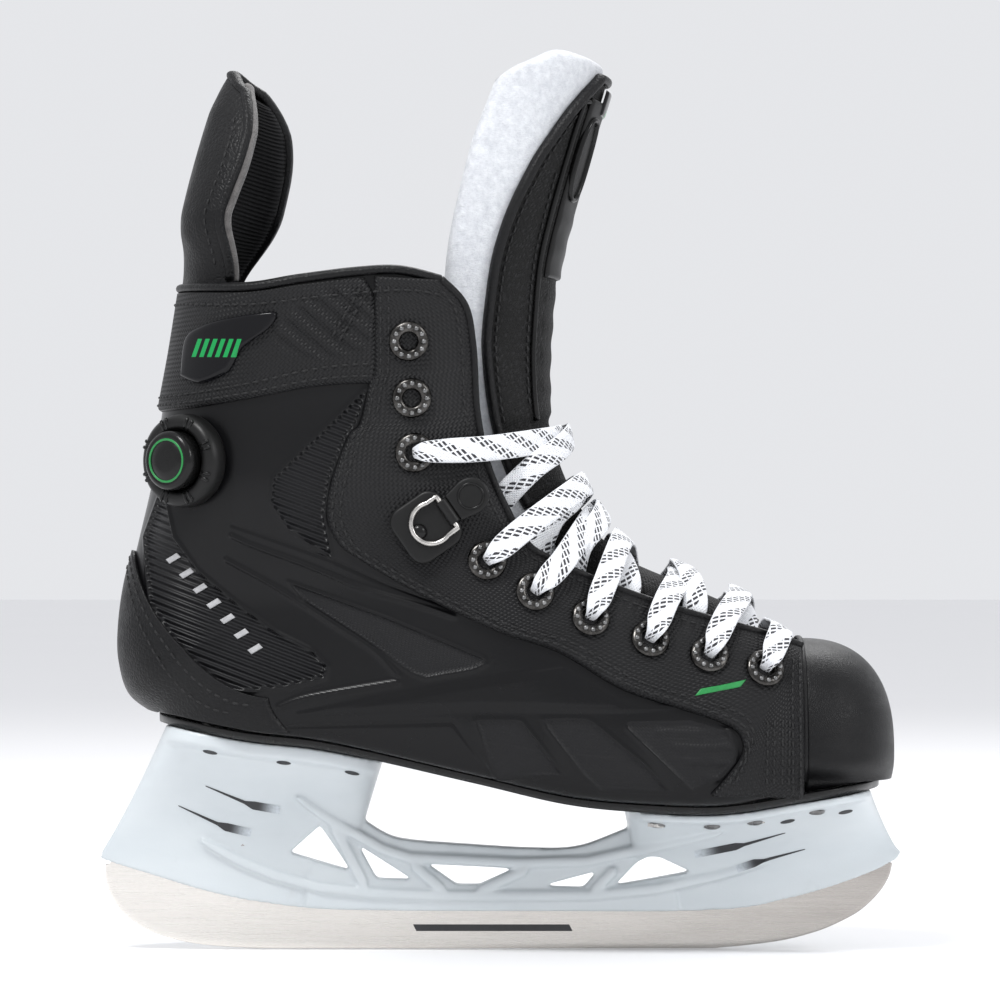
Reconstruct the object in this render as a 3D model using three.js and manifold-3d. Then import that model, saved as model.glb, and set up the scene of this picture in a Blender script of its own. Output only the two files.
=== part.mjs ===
// Ice hockey skate, right foot: padded boot, moulded blade holder and steel runner.
// Millimetres, +X towards the toe, +Y towards the medial side, +Z up.
// The origin is under the middle of the runner, on the ice.
import * as THREE from "three";
import { mergeVertices } from "three/addons/utils/BufferGeometryUtils.js";
import Module from "manifold-3d";

const wasm = await Module();
wasm.setup();

// ---- Driving dimensions ----
const BOOT_LENGTH = 277; // heel to toe, outside
const BOOT_WIDTH = 101; // over the ball of the foot, outside
const SKATE_HEIGHT = 322; // ice to the top of the tongue
const SHELL_WALL = 3;
const OVERLAY_WALL = 1.5; // facings, collar band and heel counter
const LINER_WALL = 5;
const LINER_DEPTH = 6.2; // outside of the shell to the outside of the liner
const OUTSOLE_THICKNESS = 3;
const FOOTBED_THICKNESS = 3.5;
const FOOTBED_MARGIN = 15; // shell's outside to the footbed's edge
const TOE_CAP_WALL = 6.5; // plastic cap with its foam lining
const TONGUE_COVER_WALL = 2;
const TONGUE_FELT_WALL = 9;
const GUARD_WALL = 2.2;
const GUARD_PAD_WALL = 3.2;
const GUARD_TWIST = 20; // degrees: the tendon guard is turned towards the lateral side
const RUNNER_THICKNESS = 2.9;
const RUNNER_GRIP = 6; // how far the runner's top goes up into the holder
const HOLDER_WEB = 12; // width of the holder's truss and of its slot's walls
const REAR_FLANGE_WIDTH = 54;
const FRONT_FLANGE_WIDTH = 70;
const HOLDER_WELL_RADIUS = 6.5;
const STUD_RADIUS = 3;
const NUT_RADIUS = 5;
const NUT_HEIGHT = 4;
const RIVET_RADIUS = 2.1;
const RIVET_HEAD_RADIUS = 3.8;
const RIVET_HEAD_HEIGHT = 1.5;
const FLANGE_THICKNESS = 3.5;
const EYELET_FLANGE_RADIUS = 7;
const EYELET_HOLE_RADIUS = 3;
const EYELET_WALL = 0.8;
const EYELET_RIM_HEIGHT = 1.3;
const LACE_RADIUS = 1.5; // round stand-in for a flat woven lace
const PUMP_RADIUS = 16.5;
const PUMP_HEIGHT = 5.5;
const PUMP_BUTTON_RADIUS = 10.4;
const PUMP_BUTTON_HEIGHT = 5.5; // how far the button stands out of its ring
const PUMP_TRAVEL = 4;
const RING_RADIUS = 7.2;
const RING_WIRE_RADIUS = 0.9;
const AIR_TUBE_RADIUS = 0.8;
const GAP = 0.4; // between pieces that touch
const OVERLAY_GAP = 1; // between curved skins with different facets
const RUNNING_GAP = 0.3; // around a piece that moves

// ---- Side outlines, given for the nominal size and stretched with the driving dimensions ----
const NOMINAL = { length: 277, width: 101, height: 322 };
const STRETCH = {
  x: BOOT_LENGTH / NOMINAL.length,
  y: BOOT_WIDTH / NOMINAL.width,
  z: SKATE_HEIGHT / NOMINAL.height,
};
const spline = (...points) =>
  new THREE.SplineCurve(points.map(([x, z]) => new THREE.Vector2(x, z)));
const TOE_JOINT_X = 107; // where the quarters end and the toe cap shows
const SOLE_TOE = 136;
const HEEL_FOOT = [-122, 85];
const COLLAR_FRONT = [-21, 238];
const COLLAR_BACK = [-113.5, 236];
const HEEL_BACK = spline(
  HEEL_FOOT,
  [-131.5, 92],
  [-135, 103],
  [-135.4, 114],
  [-133.6, 129],
  [-129.5, 146],
  [-124, 170],
  [-121, 192],
  [-117, 214],
  COLLAR_BACK,
);
const FEATHER_EDGE = spline(
  HEEL_FOOT,
  [-90, 79],
  [-60, 75.3],
  [-10, 64.3],
  [23, 56.8],
  [50, 54],
  [79, 53.3],
  [TOE_JOINT_X, 57.5],
);
const SOLE_LINE = spline(
  HEEL_FOOT,
  [-90, 79],
  [-60, 75.3],
  [-10, 64.3],
  [23, 56.8],
  [50, 54],
  [79, 53.3],
  [TOE_JOINT_X, 57.5],
  [122, 59.8],
  [SOLE_TOE, 62],
);
const COLLAR_TOP = spline(
  COLLAR_BACK,
  [-89, 235.5],
  [-70, 238.3],
  [-50, 240.8],
  [-35, 241.3],
  COLLAR_FRONT,
);
const THROAT_EDGE = spline(
  [TOE_JOINT_X, 107],
  [95, 111.3],
  [76, 116.6],
  [56, 122.6],
  [36, 130],
  [17, 139],
  [8.5, 145],
  [1, 158],
  [-5.4, 173.4],
  [-9, 192],
  [-10.3, 214],
  [-13, 229],
  COLLAR_FRONT,
);
const FRONT_EDGE = new THREE.CurvePath();
FRONT_EDGE.add(
  new THREE.LineCurve(
    new THREE.Vector2(TOE_JOINT_X, 57.5),
    new THREE.Vector2(TOE_JOINT_X, 107),
  ),
);
FRONT_EDGE.add(THROAT_EDGE);
// Front of the tongue on the middle plane, from the toe to the cover's tip.
const TONGUE_RIDGE = spline(
  [TOE_JOINT_X, 109],
  [98, 115],
  [88, 121],
  [68, 130],
  [46, 139.5],
  [38, 146],
  [30, 157],
  [25, 166],
  [20.5, 178],
  [18, 192],
  [17.5, 208],
  [18.5, 226],
  [20.3, 244],
  [24, 260],
  [29.4, 279],
  [33.4, 293],
  [37.5, 306],
  [39.5, 314],
);
const GUARD_BACK = spline(
  [-113.6, 237],
  [-110.7, 259],
  [-106.5, 281],
  [-101.5, 302],
  [-97, 313],
);

const clampTo = (x, low, high) => Math.min(high, Math.max(low, x));
const clamp01 = (t) => clampTo(t, 0, 1);
const smooth = (t) => clamp01(t) ** 2 * (3 - 2 * clamp01(t));
const mix = (a, b, t) => a + (b - a) * t;
// A superellipse's rise from 0 at its edge to 1 at its middle.
const dome = (t, n) => (1 - (1 - clamp01(t)) ** n) ** (1 / n);

function lerpTable(table, t) {
  const k = table.findIndex(([at]) => at >= t);
  if (k <= 0) return table[k < 0 ? table.length - 1 : 0][1];
  const [[t0, a], [t1, b]] = [table[k - 1], table[k]];
  return mix(a, b, (t - t0) / (t1 - t0));
}

function distanceTo(samples, x, z) {
  let best = Infinity;
  for (let i = 1; i < samples.length; i++) {
    const a = samples[i - 1];
    const b = samples[i];
    const [dx, dz] = [b.x - a.x, b.y - a.y];
    const t = clamp01(
      ((x - a.x) * dx + (z - a.y) * dz) / (dx * dx + dz * dz),
    );
    best = Math.min(best, Math.hypot(x - a.x - dx * t, z - a.y - dz * t));
  }
  return best;
}
const BACK_SAMPLES = HEEL_BACK.getPoints(60);
const RIDGE_SAMPLES = TONGUE_RIDGE.getPoints(90);

// Height of the outsole's top at a given x.
function soleZ(x) {
  const points = SOLE_SAMPLES;
  if (x <= points[0].x) return points[0].y;
  for (let i = 1; i < points.length; i++)
    if (x <= points[i].x) {
      const [a, b] = [points[i - 1], points[i]];
      return mix(a.y, b.y, (x - a.x) / (b.x - a.x));
    }
  return points.at(-1).y;
}
const SOLE_SAMPLES = SOLE_LINE.getPoints(80);

// The foot's centre line bends towards the big toe.
const TOE_SWING = 6;
const centreY = (x) => TOE_SWING * smooth((x + 20) / 130);

// Half the boot's width at a point of its side view.
const RIDGE_RISE = 1.5; // the quarters' envelope lies this far over the tongue
function halfWidth(x, z) {
  const low = 35.5 + 15 * smooth((x + 100) / 155) - 4.5 * smooth((x - 70) / 37);
  const high = 43 + 3 * smooth((z - 185) / 55);
  const heelPocket =
    2.5 * Math.exp(-(((z - 122) / 20) ** 2)) * smooth((-55 - x) / 45);
  const base = mix(low, high, smooth((z - 122) / 50)) - heelPocket;
  const up = smooth((z - 118) / 50);
  const back = dome(distanceTo(BACK_SAMPLES, x, z) / mix(44, 40, up), 2.2);
  const nose = smooth((x - 60) / 47);
  const front = dome(
    (distanceTo(RIDGE_SAMPLES, x, z) + RIDGE_RISE) / mix(60, 39, nose),
    mix(2.05, 2.5, nose),
  );
  const underside = mix(0.88, 1, dome((z - soleZ(x)) / 20, 2));
  return base * back * front * underside;
}

// ---- The boot's upper: u runs lateral -1, heel 0, medial +1; v runs sole 0 to collar 1 ----
const acrossShare = (u) => 1 - (1 - Math.abs(u) ** 1.7) ** 1.25;
const cornerPoint = (curve, end) => curve.getPointAt(end);
function upperSide(g, v) {
  const [b, t] = [FEATHER_EDGE.getPointAt(g), COLLAR_TOP.getPointAt(g)];
  const [k, f] = [HEEL_BACK.getPointAt(v), FRONT_EDGE.getPointAt(v)];
  const c00 = cornerPoint(FEATHER_EDGE, 0);
  const c10 = cornerPoint(FEATHER_EDGE, 1);
  const c01 = cornerPoint(COLLAR_TOP, 0);
  const c11 = cornerPoint(COLLAR_TOP, 1);
  const coons = (axis) =>
    (1 - v) * b[axis] +
    v * t[axis] +
    (1 - g) * k[axis] +
    g * f[axis] -
    (1 - g) * (1 - v) * c00[axis] -
    g * (1 - v) * c10[axis] -
    (1 - g) * v * c01[axis] -
    g * v * c11[axis];
  return [coons("x"), coons("y")];
}
const world = (x, y, z) =>
  new THREE.Vector3(x * STRETCH.x, y * STRETCH.y, z * STRETCH.z);
function upperPoint(u, v) {
  const [x, z] = upperSide(acrossShare(clamp01(Math.abs(u))), clamp01(v));
  const y = u === 0 ? 0 : Math.sign(u) * halfWidth(x, z);
  return world(x, y + centreY(x), z);
}
// The outward normal of a surface given by a function of two parameters.
function normalOf(point, a, b) {
  const e = 0.004;
  const [a0, a1] = [Math.max(-1, a - e), Math.min(1, a + e)];
  const [b0, b1] = [Math.max(0, b - e), Math.min(1, b + e)];
  const da = point(a1, b).sub(point(a0, b));
  const db = point(a, b1).sub(point(a, b0));
  return db.cross(da).normalize();
}
const upperAt = (u, v, offset) =>
  upperPoint(u, v).addScaledVector(normalOf(upperPoint, u, v), offset);

// A point of the boot's side surface above a side-view point, found by its half width.
const sideSign = { lateral: -1, medial: 1 };
function sidePoint(x, z, side, offset = 0) {
  const s = sideSign[side];
  const at = (px, pz) =>
    world(px, centreY(px) + s * halfWidth(px, pz), pz);
  const e = 0.5;
  const dx = at(x + e, z).sub(at(x - e, z));
  const dz = at(x, z + e).sub(at(x, z - e));
  const n = dx.cross(dz).normalize();
  if (n.y * s < 0) n.negate();
  return { point: at(x, z).addScaledVector(n, offset), normal: n };
}

// ---- Solids ----
function solidFrom(positions, triangles) {
  const g = new THREE.BufferGeometry();
  g.setAttribute(
    "position",
    new THREE.Float32BufferAttribute(positions.flatMap((p) => p.toArray()), 3),
  );
  g.setIndex(triangles);
  return toManifold(g);
}
function toManifold(geometry) {
  const bare = new THREE.BufferGeometry().setAttribute(
    "position",
    geometry.getAttribute("position"),
  );
  bare.setIndex(geometry.index);
  const merged = mergeVertices(bare, 1e-4);
  let index = merged.index.array;
  const kept = [];
  for (let i = 0; i < index.length; i += 3) {
    const [a, b, c] = [index[i], index[i + 1], index[i + 2]];
    if (a !== b && b !== c && a !== c) kept.push(a, b, c);
  }
  const build = (list) =>
    new wasm.Manifold(
      new wasm.Mesh({
        numProp: 3,
        vertProperties: new Float32Array(merged.attributes.position.array),
        triVerts: new Uint32Array(list),
      }),
    );
  const made = build(kept);
  if (made.volume() > 0) return made;
  const turned = [];
  for (let i = 0; i < kept.length; i += 3)
    turned.push(kept[i], kept[i + 2], kept[i + 1]);
  return build(turned);
}
function toGeometry(manifold) {
  const mesh = manifold.getMesh();
  const n = mesh.numProp;
  const positions = new Float32Array(mesh.numVert * 3);
  for (let i = 0; i < mesh.numVert; i++)
    positions.set(mesh.vertProperties.subarray(i * n, i * n + 3), i * 3);
  const g = new THREE.BufferGeometry();
  g.setAttribute("position", new THREE.BufferAttribute(positions, 3));
  g.setIndex(new THREE.BufferAttribute(new Uint32Array(mesh.triVerts), 1));
  return g;
}
// A closed solid between two grids of points: front[i][j] and back[i][j].
function gridSolid(front, back) {
  const [rows, cols] = [front.length, front[0].length];
  const positions = [...front.flat(), ...back.flat()];
  const at = (layer, i, j) => layer * rows * cols + i * cols + j;
  const triangles = [];
  const quad = (a, b, c, d) => triangles.push(a, b, c, a, c, d);
  for (let i = 0; i + 1 < rows; i++)
    for (let j = 0; j + 1 < cols; j++) {
      quad(at(0, i, j), at(0, i, j + 1), at(0, i + 1, j + 1), at(0, i + 1, j));
      quad(at(1, i, j), at(1, i + 1, j), at(1, i + 1, j + 1), at(1, i, j + 1));
    }
  for (let j = 0; j + 1 < cols; j++) {
    quad(at(0, 0, j), at(1, 0, j), at(1, 0, j + 1), at(0, 0, j + 1));
    const r = rows - 1;
    quad(at(0, r, j), at(0, r, j + 1), at(1, r, j + 1), at(1, r, j));
  }
  for (let i = 0; i + 1 < rows; i++) {
    quad(at(0, i, 0), at(0, i + 1, 0), at(1, i + 1, 0), at(1, i, 0));
    const c = cols - 1;
    quad(at(0, i, c), at(1, i, c), at(1, i + 1, c), at(0, i + 1, c));
  }
  return solidFrom(positions, triangles);
}
const steps = (n, from = 0, to = 1) =>
  Array.from({ length: n + 1 }, (_, i) => mix(from, to, i / n));
// A skin of the upper between two v limits, each a number or a function of u.
function upperSkin({ us, rows, low, high, outer, inner }) {
  const value = (f, u) => (typeof f === "function" ? f(u) : f);
  const layer = (offset) =>
    steps(rows).map((t) =>
      us.map((u) => upperAt(u, mix(value(low, u), value(high, u), t), offset)),
    );
  return gridSolid(layer(outer), layer(inner));
}
// A tube along a curve, as an extrusion of a round section.
function tube(curve, radius, stepCount, sides = 8) {
  const section = new THREE.Shape();
  for (let i = 0; i < sides; i++) {
    const a = (i / sides) * Math.PI * 2;
    const [x, y] = [radius * Math.cos(a), radius * Math.sin(a)];
    if (i) section.lineTo(x, y);
    else section.moveTo(x, y);
  }
  return toManifold(
    new THREE.ExtrudeGeometry(section, {
      steps: stepCount,
      extrudePath: curve,
      bevelEnabled: false,
    }),
  );
}
// A tube through given points, one ring of corners at each.
function sweep(points, radius, sides) {
  const positions = [];
  const triangles = [];
  const tangents = points.map((p, i) =>
    points[Math.min(i + 1, points.length - 1)]
      .clone()
      .sub(points[Math.max(i - 1, 0)])
      .normalize(),
  );
  let across = new THREE.Vector3(1, 0, 0).cross(tangents[0]).normalize();
  points.forEach((p, i) => {
    across = across.addScaledVector(tangents[i], -across.dot(tangents[i])).normalize();
    const up = new THREE.Vector3().crossVectors(tangents[i], across);
    for (let k = 0; k < sides; k++) {
      const a = (k / sides) * Math.PI * 2;
      positions.push(
        p
          .clone()
          .addScaledVector(across, radius * Math.cos(a))
          .addScaledVector(up, radius * Math.sin(a)),
      );
    }
  });
  const at = (i, k) => i * sides + (k % sides);
  for (let i = 0; i + 1 < points.length; i++)
    for (let k = 0; k < sides; k++) {
      triangles.push(at(i, k), at(i, k + 1), at(i + 1, k + 1));
      triangles.push(at(i, k), at(i + 1, k + 1), at(i + 1, k));
    }
  const last = points.length - 1;
  for (let k = 1; k + 1 < sides; k++) {
    triangles.push(at(0, 0), at(0, k + 1), at(0, k));
    triangles.push(at(last, 0), at(last, k), at(last, k + 1));
  }
  return solidFrom(positions, triangles);
}
// A turned solid: profile of [radius, height] about +Z, closing on the axis or on itself.
function turned(profile, sides, matrix = new THREE.Matrix4()) {
  const points = profile.map(([r, h]) => new THREE.Vector2(r, h));
  const g = new THREE.LatheGeometry(points, sides);
  g.rotateX(Math.PI / 2);
  g.applyMatrix4(matrix);
  return toManifold(g);
}
// The matrix that carries +Z to a direction, at a place.
function facing(place, direction) {
  const q = new THREE.Quaternion().setFromUnitVectors(
    new THREE.Vector3(0, 0, 1),
    direction.clone().normalize(),
  );
  return new THREE.Matrix4().compose(place, q, new THREE.Vector3(1, 1, 1));
}
// A side profile, with its holes, extruded across the skate.
function sideExtrusion(outline, width, holes = []) {
  const point = ([x, z]) => new THREE.Vector2(x * STRETCH.x, z * STRETCH.z);
  const shape = new THREE.Shape(outline.map(point));
  shape.holes = holes.map((h) => new THREE.Path(h.map(point)));
  const g = new THREE.ExtrudeGeometry(shape, {
    depth: width,
    bevelEnabled: false,
  });
  g.translate(0, 0, -width / 2);
  g.rotateX(Math.PI / 2);
  return toManifold(g);
}

const skate = new THREE.Group();
function add(name, manifold, material) {
  const mesh = new THREE.Mesh(toGeometry(manifold), material);
  mesh.name = name;
  skate.add(mesh);
  return mesh;
}
const finish = (color, roughness, metalness = 0) =>
  new THREE.MeshStandardMaterial({ color, roughness, metalness });
const MATERIALS = {
  shell: finish(0x141414, 0.45),
  fabric: finish(0x1c1c1d, 0.8),
  liner: finish(0x2a2a2c, 0.95),
  felt: finish(0xe9ecef, 0.95),
  greyFelt: finish(0x4a4644, 0.95),
  rubber: finish(0x101010, 0.55),
  gloss: finish(0x0a0a0a, 0.12),
  toeCap: finish(0x161616, 0.5),
  outsole: finish(0x101010, 0.4),
  holder: finish(0xdfe5e8, 0.35),
  steel: finish(0xb8b2a8, 0.25, 1),
  eyelet: finish(0x3a3835, 0.3, 1),
  nickel: finish(0xa09a90, 0.3, 1),
  lace: finish(0xeef0f5, 0.9),
  bladder: finish(0x555a60, 0.6),
};

// ---- Eyelets: two rows of nine, given by their side-view places ----
const EYELET_PLACES = [
  [-32.3, 216.6],
  [-31.3, 196.6],
  [-30.2, 177.2],
  [-4.9, 138.9],
  [11.6, 127.8],
  [31.1, 118.2],
  [52, 110.4],
  [73.3, 104.8],
  [92.4, 99.9],
];
const LACED_FROM = 2; // the two top pairs are left empty
const facingTop = OVERLAY_GAP + OVERLAY_WALL;
const EYELET_LIFT = 1.2; // a flat flange clears the curved facing
const EYELET_REACH = 1.3; // how far the barrel stands out inside the shell
const EYELET_SEAT_RADIUS = (EYELET_HOLE_RADIUS + EYELET_WALL) * 1.16 + GAP * 0.5; // six-sided hole
const eyeletHole = (at) =>
  turned(
    [
      [0, -12],
      [EYELET_SEAT_RADIUS, -12],
      [EYELET_SEAT_RADIUS, 9],
      [0, 9],
    ],
    6,
    facing(at.point, at.normal),
  );
function eyelet(at) {
  const base = facingTop + EYELET_LIFT;
  const [hole, barrel] = [EYELET_HOLE_RADIUS, EYELET_HOLE_RADIUS + EYELET_WALL];
  return turned(
    [
      [hole, -SHELL_WALL - EYELET_REACH],
      [barrel, -SHELL_WALL - EYELET_REACH],
      [barrel, base],
      [EYELET_FLANGE_RADIUS, base],
      [EYELET_FLANGE_RADIUS - 1, base + EYELET_RIM_HEIGHT],
      [hole, base + EYELET_RIM_HEIGHT],
      [hole, -SHELL_WALL - EYELET_REACH],
    ],
    10,
    facing(at.point, at.normal),
  );
}
const eyeletSites = { lateral: [], medial: [] };
for (const side of ["lateral", "medial"])
  for (const [x, z] of EYELET_PLACES)
    eyeletSites[side].push(sidePoint(x, z, side));

// ---- Pump: a ring on the lateral heel with a push button ----
const PUMP_PLACE = [-108, 174.5];
const PUMP_TURN = 36; // degrees that the pump faces rearwards
const pumpSite = sidePoint(...PUMP_PLACE, "lateral");
const pumpAxis = new THREE.Vector3(
  -Math.sin(THREE.MathUtils.degToRad(PUMP_TURN)),
  -Math.cos(THREE.MathUtils.degToRad(PUMP_TURN)),
  0,
);
const PUMP_SEAT_DEPTH = 6.3; // the ring's boss passes through the shell
const pumpMatrix = facing(pumpSite.point, pumpAxis);
const PUMP_BORE = PUMP_BUTTON_RADIUS + RUNNING_GAP;
const PUMP_FLOOR = -1.5; // floor of the bore, over the shell's outside
const PUMP_BOSS_RADIUS = 6;

// ---- Release valve: housing on the lateral facing, with a pull tab and a D-ring ----
const RELEASE_PLACE = [-24, 152.5];
const releaseSite = sidePoint(...RELEASE_PLACE, "lateral");
const VALVE_RADIUS = 2.6;

// ---- Upper ----
const SIDE_COLUMNS = 17;
const UPPER_ROWS = 10;
const allUs = (limit = 1) => steps(SIDE_COLUMNS * 2, -limit, limit);
const eyeletHoles = (side) =>
  eyeletSites[side].map(eyeletHole).reduce((a, b) => a.add(b));
const lateralHoles = eyeletHoles("lateral");
const medialHoles = eyeletHoles("medial");
const pumpHole = turned(
  [
    [0, -14],
    [PUMP_BOSS_RADIUS + GAP, -14],
    [PUMP_BOSS_RADIUS + GAP, 9],
    [0, 9],
  ],
  12,
  pumpMatrix,
);
const valveHole = turned(
  [
    [0, -4.6],
    [VALVE_RADIUS + GAP, -4.6],
    [VALVE_RADIUS + GAP, 9],
    [0, 9],
  ],
  10,
  facing(releaseSite.point, releaseSite.normal),
);
const quarter = upperSkin({
  us: allUs(),
  rows: UPPER_ROWS,
  low: 0,
  high: 1,
  outer: 0,
  inner: -SHELL_WALL,
})
  .subtract(lateralHoles)
  .subtract(medialHoles)
  .subtract(pumpHole)
  .subtract(valveHole);
add("quarter_shell", quarter, MATERIALS.shell);

const LINER_FRONT = 0.8; // share of the way round at which the padding stops short of the eyelets
const liner = upperSkin({
  us: steps(SIDE_COLUMNS * 2 - 6, -LINER_FRONT, LINER_FRONT),
  rows: 7,
  low: 0.06,
  high: 0.97,
  outer: -LINER_DEPTH,
  inner: -LINER_DEPTH - LINER_WALL,
});
add("liner", liner, MATERIALS.liner);

// Facings: from the curved seam on the quarter forward to the throat and the toe joint.
const FACING_SEAM = [
  [0, 0.8],
  [0.1, 0.9],
  [0.2, 0.85],
  [0.35, 0.78],
  [0.5, 0.72],
  [0.62, 0.64],
  [0.75, 0.6],
  [0.86, 0.64],
  [1, 0.66],
];
function facingSkin(side) {
  const s = sideSign[side];
  const layer = (offset) =>
    steps(UPPER_ROWS)
      .map((v) => clampTo(v, 0.015, 0.985))
      .map((v) =>
        steps(6, lerpTable(FACING_SEAM, v), 0.945).map((u) =>
          upperAt(s * u, v, offset),
        ),
      );
  return gridSolid(layer(facingTop + 0.3), layer(OVERLAY_GAP + 0.5));
}
add(
  "facing_lateral",
  facingSkin("lateral").subtract(lateralHoles).subtract(valveHole),
  MATERIALS.fabric,
);
add(
  "facing_medial",
  facingSkin("medial").subtract(medialHoles),
  MATERIALS.fabric,
);
// Collar band round the back of the ankle, up to the facings.
const BAND_END = 0.57;
const bandLow = (u) => 0.73 + 0.13 * smooth(Math.abs(u) / BAND_END);
add(
  "collar_band",
  upperSkin({
    us: steps(20, -BAND_END, BAND_END),
    rows: 3,
    low: bandLow,
    high: 0.985,
    outer: facingTop,
    inner: OVERLAY_GAP,
  }),
  MATERIALS.fabric,
);
const COUNTER_END = 0.34;
// The counter lies over the tightest curve, where facets bulge more as the boot grows.
const COUNTER_LIFT = OVERLAY_GAP * Math.max(STRETCH.x, STRETCH.y, STRETCH.z) ** 2;
add(
  "heel_counter",
  upperSkin({
    us: steps(14, -COUNTER_END, COUNTER_END),
    rows: 5,
    low: 0.01,
    high: (u) => 0.4 - 0.3 * smooth(Math.abs(u) / COUNTER_END),
    outer: facingTop + COUNTER_LIFT,
    inner: OVERLAY_GAP + COUNTER_LIFT,
  }),
  MATERIALS.fabric,
);
// Gloss badges on the band.
const BADGE_OFFSET = facingTop + OVERLAY_GAP;
for (const side of ["lateral", "medial"]) {
  const s = sideSign[side];
  const layer = (offset) =>
    steps(2, 0.815, 0.925).map((v) =>
      steps(5, s * 0.2, s * 0.4).map((u) => upperAt(u, v, offset)),
    );
  add(
    "collar_badge_" + side,
    gridSolid(layer(BADGE_OFFSET + 1), layer(BADGE_OFFSET)),
    MATERIALS.gloss,
  );
}
// Air cell round the heel, in the space between shell and liner.
const BLADDER_OUT = -SHELL_WALL - 0.9;
const BLADDER_IN = -LINER_DEPTH + 0.7;
const BLADDER_END = 0.5;
add(
  "air_bladder",
  upperSkin({
    us: steps(18, -BLADDER_END, BLADDER_END),
    rows: 1,
    low: 0.42,
    high: 0.55,
    outer: BLADDER_OUT,
    inner: BLADDER_IN,
  }),
  MATERIALS.bladder,
);
const tubeMid = (BLADDER_OUT + BLADDER_IN) / 2;
const tubeRoute = [0.505, 0.53, 0.56, 0.585, 0.605].map((u, i) =>
  upperAt(-u, 0.5 + 0.022 * i, tubeMid),
);
add(
  "air_tube",
  tube(new THREE.CatmullRomCurve3(tubeRoute), AIR_TUBE_RADIUS, 10, 6),
  MATERIALS.rubber,
);

// ---- Toe cap: a superellipsoid dome with a lip inside the quarters ----
const CAP = {
  x: TOE_JOINT_X + 0.8,
  z: 70,
  length: 33.8,
  width: 45.5,
  height: 41,
  depth: 26,
  power: 2.5,
};
const CAP_BOTTOM = 61;
const SOLE_TUCK = 0.87; // the upper draws in to the outsole
const CAP_LIP = 12;
const power = (t, p) => Math.sign(t) * Math.abs(t) ** p;
function capPoint(theta, phi, offset) {
  const e = 2 / CAP.power;
  const rise = theta < 0 ? CAP.depth : CAP.height;
  const [ox, oy, oz] = [
    offset / STRETCH.x,
    offset / STRETCH.y,
    offset / STRETCH.z,
  ];
  const r = power(Math.cos(theta), e);
  const c = power(Math.cos(phi), e);
  const s = power(Math.sin(phi), e);
  const tuck = theta < 0 ? SOLE_TUCK : 1;
  return world(
    CAP.x + (CAP.length + ox) * r * c,
    centreY(CAP.x) + 2 * c + (CAP.width + oy) * r * s * tuck,
    CAP.z + (rise + (theta < 0 ? 0 : oz)) * power(Math.sin(theta), e),
  );
}
function toeCap() {
  const lowest = -Math.asin(((CAP.z - CAP_BOTTOM) / CAP.depth) ** (CAP.power / 2));
  const thetas = [lowest, 0, ...steps(6, 0, Math.PI / 2).slice(1)];
  const phis = steps(14, -Math.PI / 2, Math.PI / 2);
  const lipShift = (CAP_LIP + 0.8) / STRETCH.x;
  const row = (theta, offset, lipOffset) => {
    const lip = (phi, back) =>
      capPoint(theta, phi, lipOffset).add(
        new THREE.Vector3(back ? -lipShift : 0, 0, 0),
      );
    const points = [
      lip(phis[0], true),
      lip(phis[0], false),
      ...phis.map((phi) => capPoint(theta, phi, offset)),
      lip(phis.at(-1), false),
      lip(phis.at(-1), true),
    ];
    // The lowest row stands on the outsole.
    if (theta === lowest)
      points.forEach((p) => (p.z = soleZ(p.x / STRETCH.x) * STRETCH.z + GAP));
    return points;
  };
  const lipOut = -SHELL_WALL - 3;
  return gridSolid(
    thetas.map((t) => row(t, 0, lipOut)),
    thetas.map((t) => row(t, -TOE_CAP_WALL, lipOut - 3)),
  );
}
add("toe_cap", toeCap(), MATERIALS.toeCap);

// ---- Outsole and footbed ----
function soleHalf(x) {
  const heel = dome((x - HEEL_FOOT[0]) / 34, 2.2);
  const toe = dome((SOLE_TOE - x) / 32, 2.4);
  return (31 + 11 * smooth((x + 60) / 120)) * heel * toe;
}
function plate(from, to, columns, half, low, high) {
  const xs = steps(columns).map((t) => {
    const c = (1 - Math.cos(t * Math.PI)) / 2;
    return mix(from, to, mix(t, c, 0.75));
  });
  const layer = (lift) =>
    xs.map((x) =>
      steps(2, -1, 1).map((k) => {
        const p = world(x, centreY(x) + k * Math.max(half(x), 0.4), soleZ(x));
        return p.add(new THREE.Vector3(0, 0, lift));
      }),
    );
  return gridSolid(layer(high), layer(low));
}
const SOLE_TOP = -GAP;
const SOLE_BOTTOM = SOLE_TOP - OUTSOLE_THICKNESS;
const FLANGE_TOP = SOLE_BOTTOM - GAP;
// Rivets: corners of each tower's flange are modelled; their places are shares of the flange.
const TOWERS = {
  rear: {
    top: [-119, -42],
    foot: [-144, -58],
    width: REAR_FLANGE_WIDTH,
    rivets: [-104, -56],
    well: -92,
  },
  front: {
    top: [44.5, 132],
    foot: [52, 144],
    width: FRONT_FLANGE_WIDTH,
    rivets: [56, 90],
    well: 88,
  },
};
const RIVET_EDGE = 9; // rivet centre to the flange's side
const slopeAt = (x) => {
  const e = 2;
  const dz = (soleZ(x + e) - soleZ(x - e)) * STRETCH.z;
  return Math.atan2(dz, 2 * e * STRETCH.x);
};
const rivetSites = [];
for (const [name, tower] of Object.entries(TOWERS))
  for (const x of tower.rivets)
    for (const s of [-1, 1]) {
      const y = centreY(x) * STRETCH.y * 0.5 + s * (tower.width / 2 - RIVET_EDGE);
      const a = slopeAt(x);
      rivetSites.push({
        name: "rivet_" + name + "_" + (rivetSites.length + 1),
        point: new THREE.Vector3(x * STRETCH.x, y, soleZ(x) * STRETCH.z),
        normal: new THREE.Vector3(-Math.sin(a), 0, Math.cos(a)),
      });
    }
const RIVET_TAIL = FLANGE_TOP - FLANGE_THICKNESS - 0.3;
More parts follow.
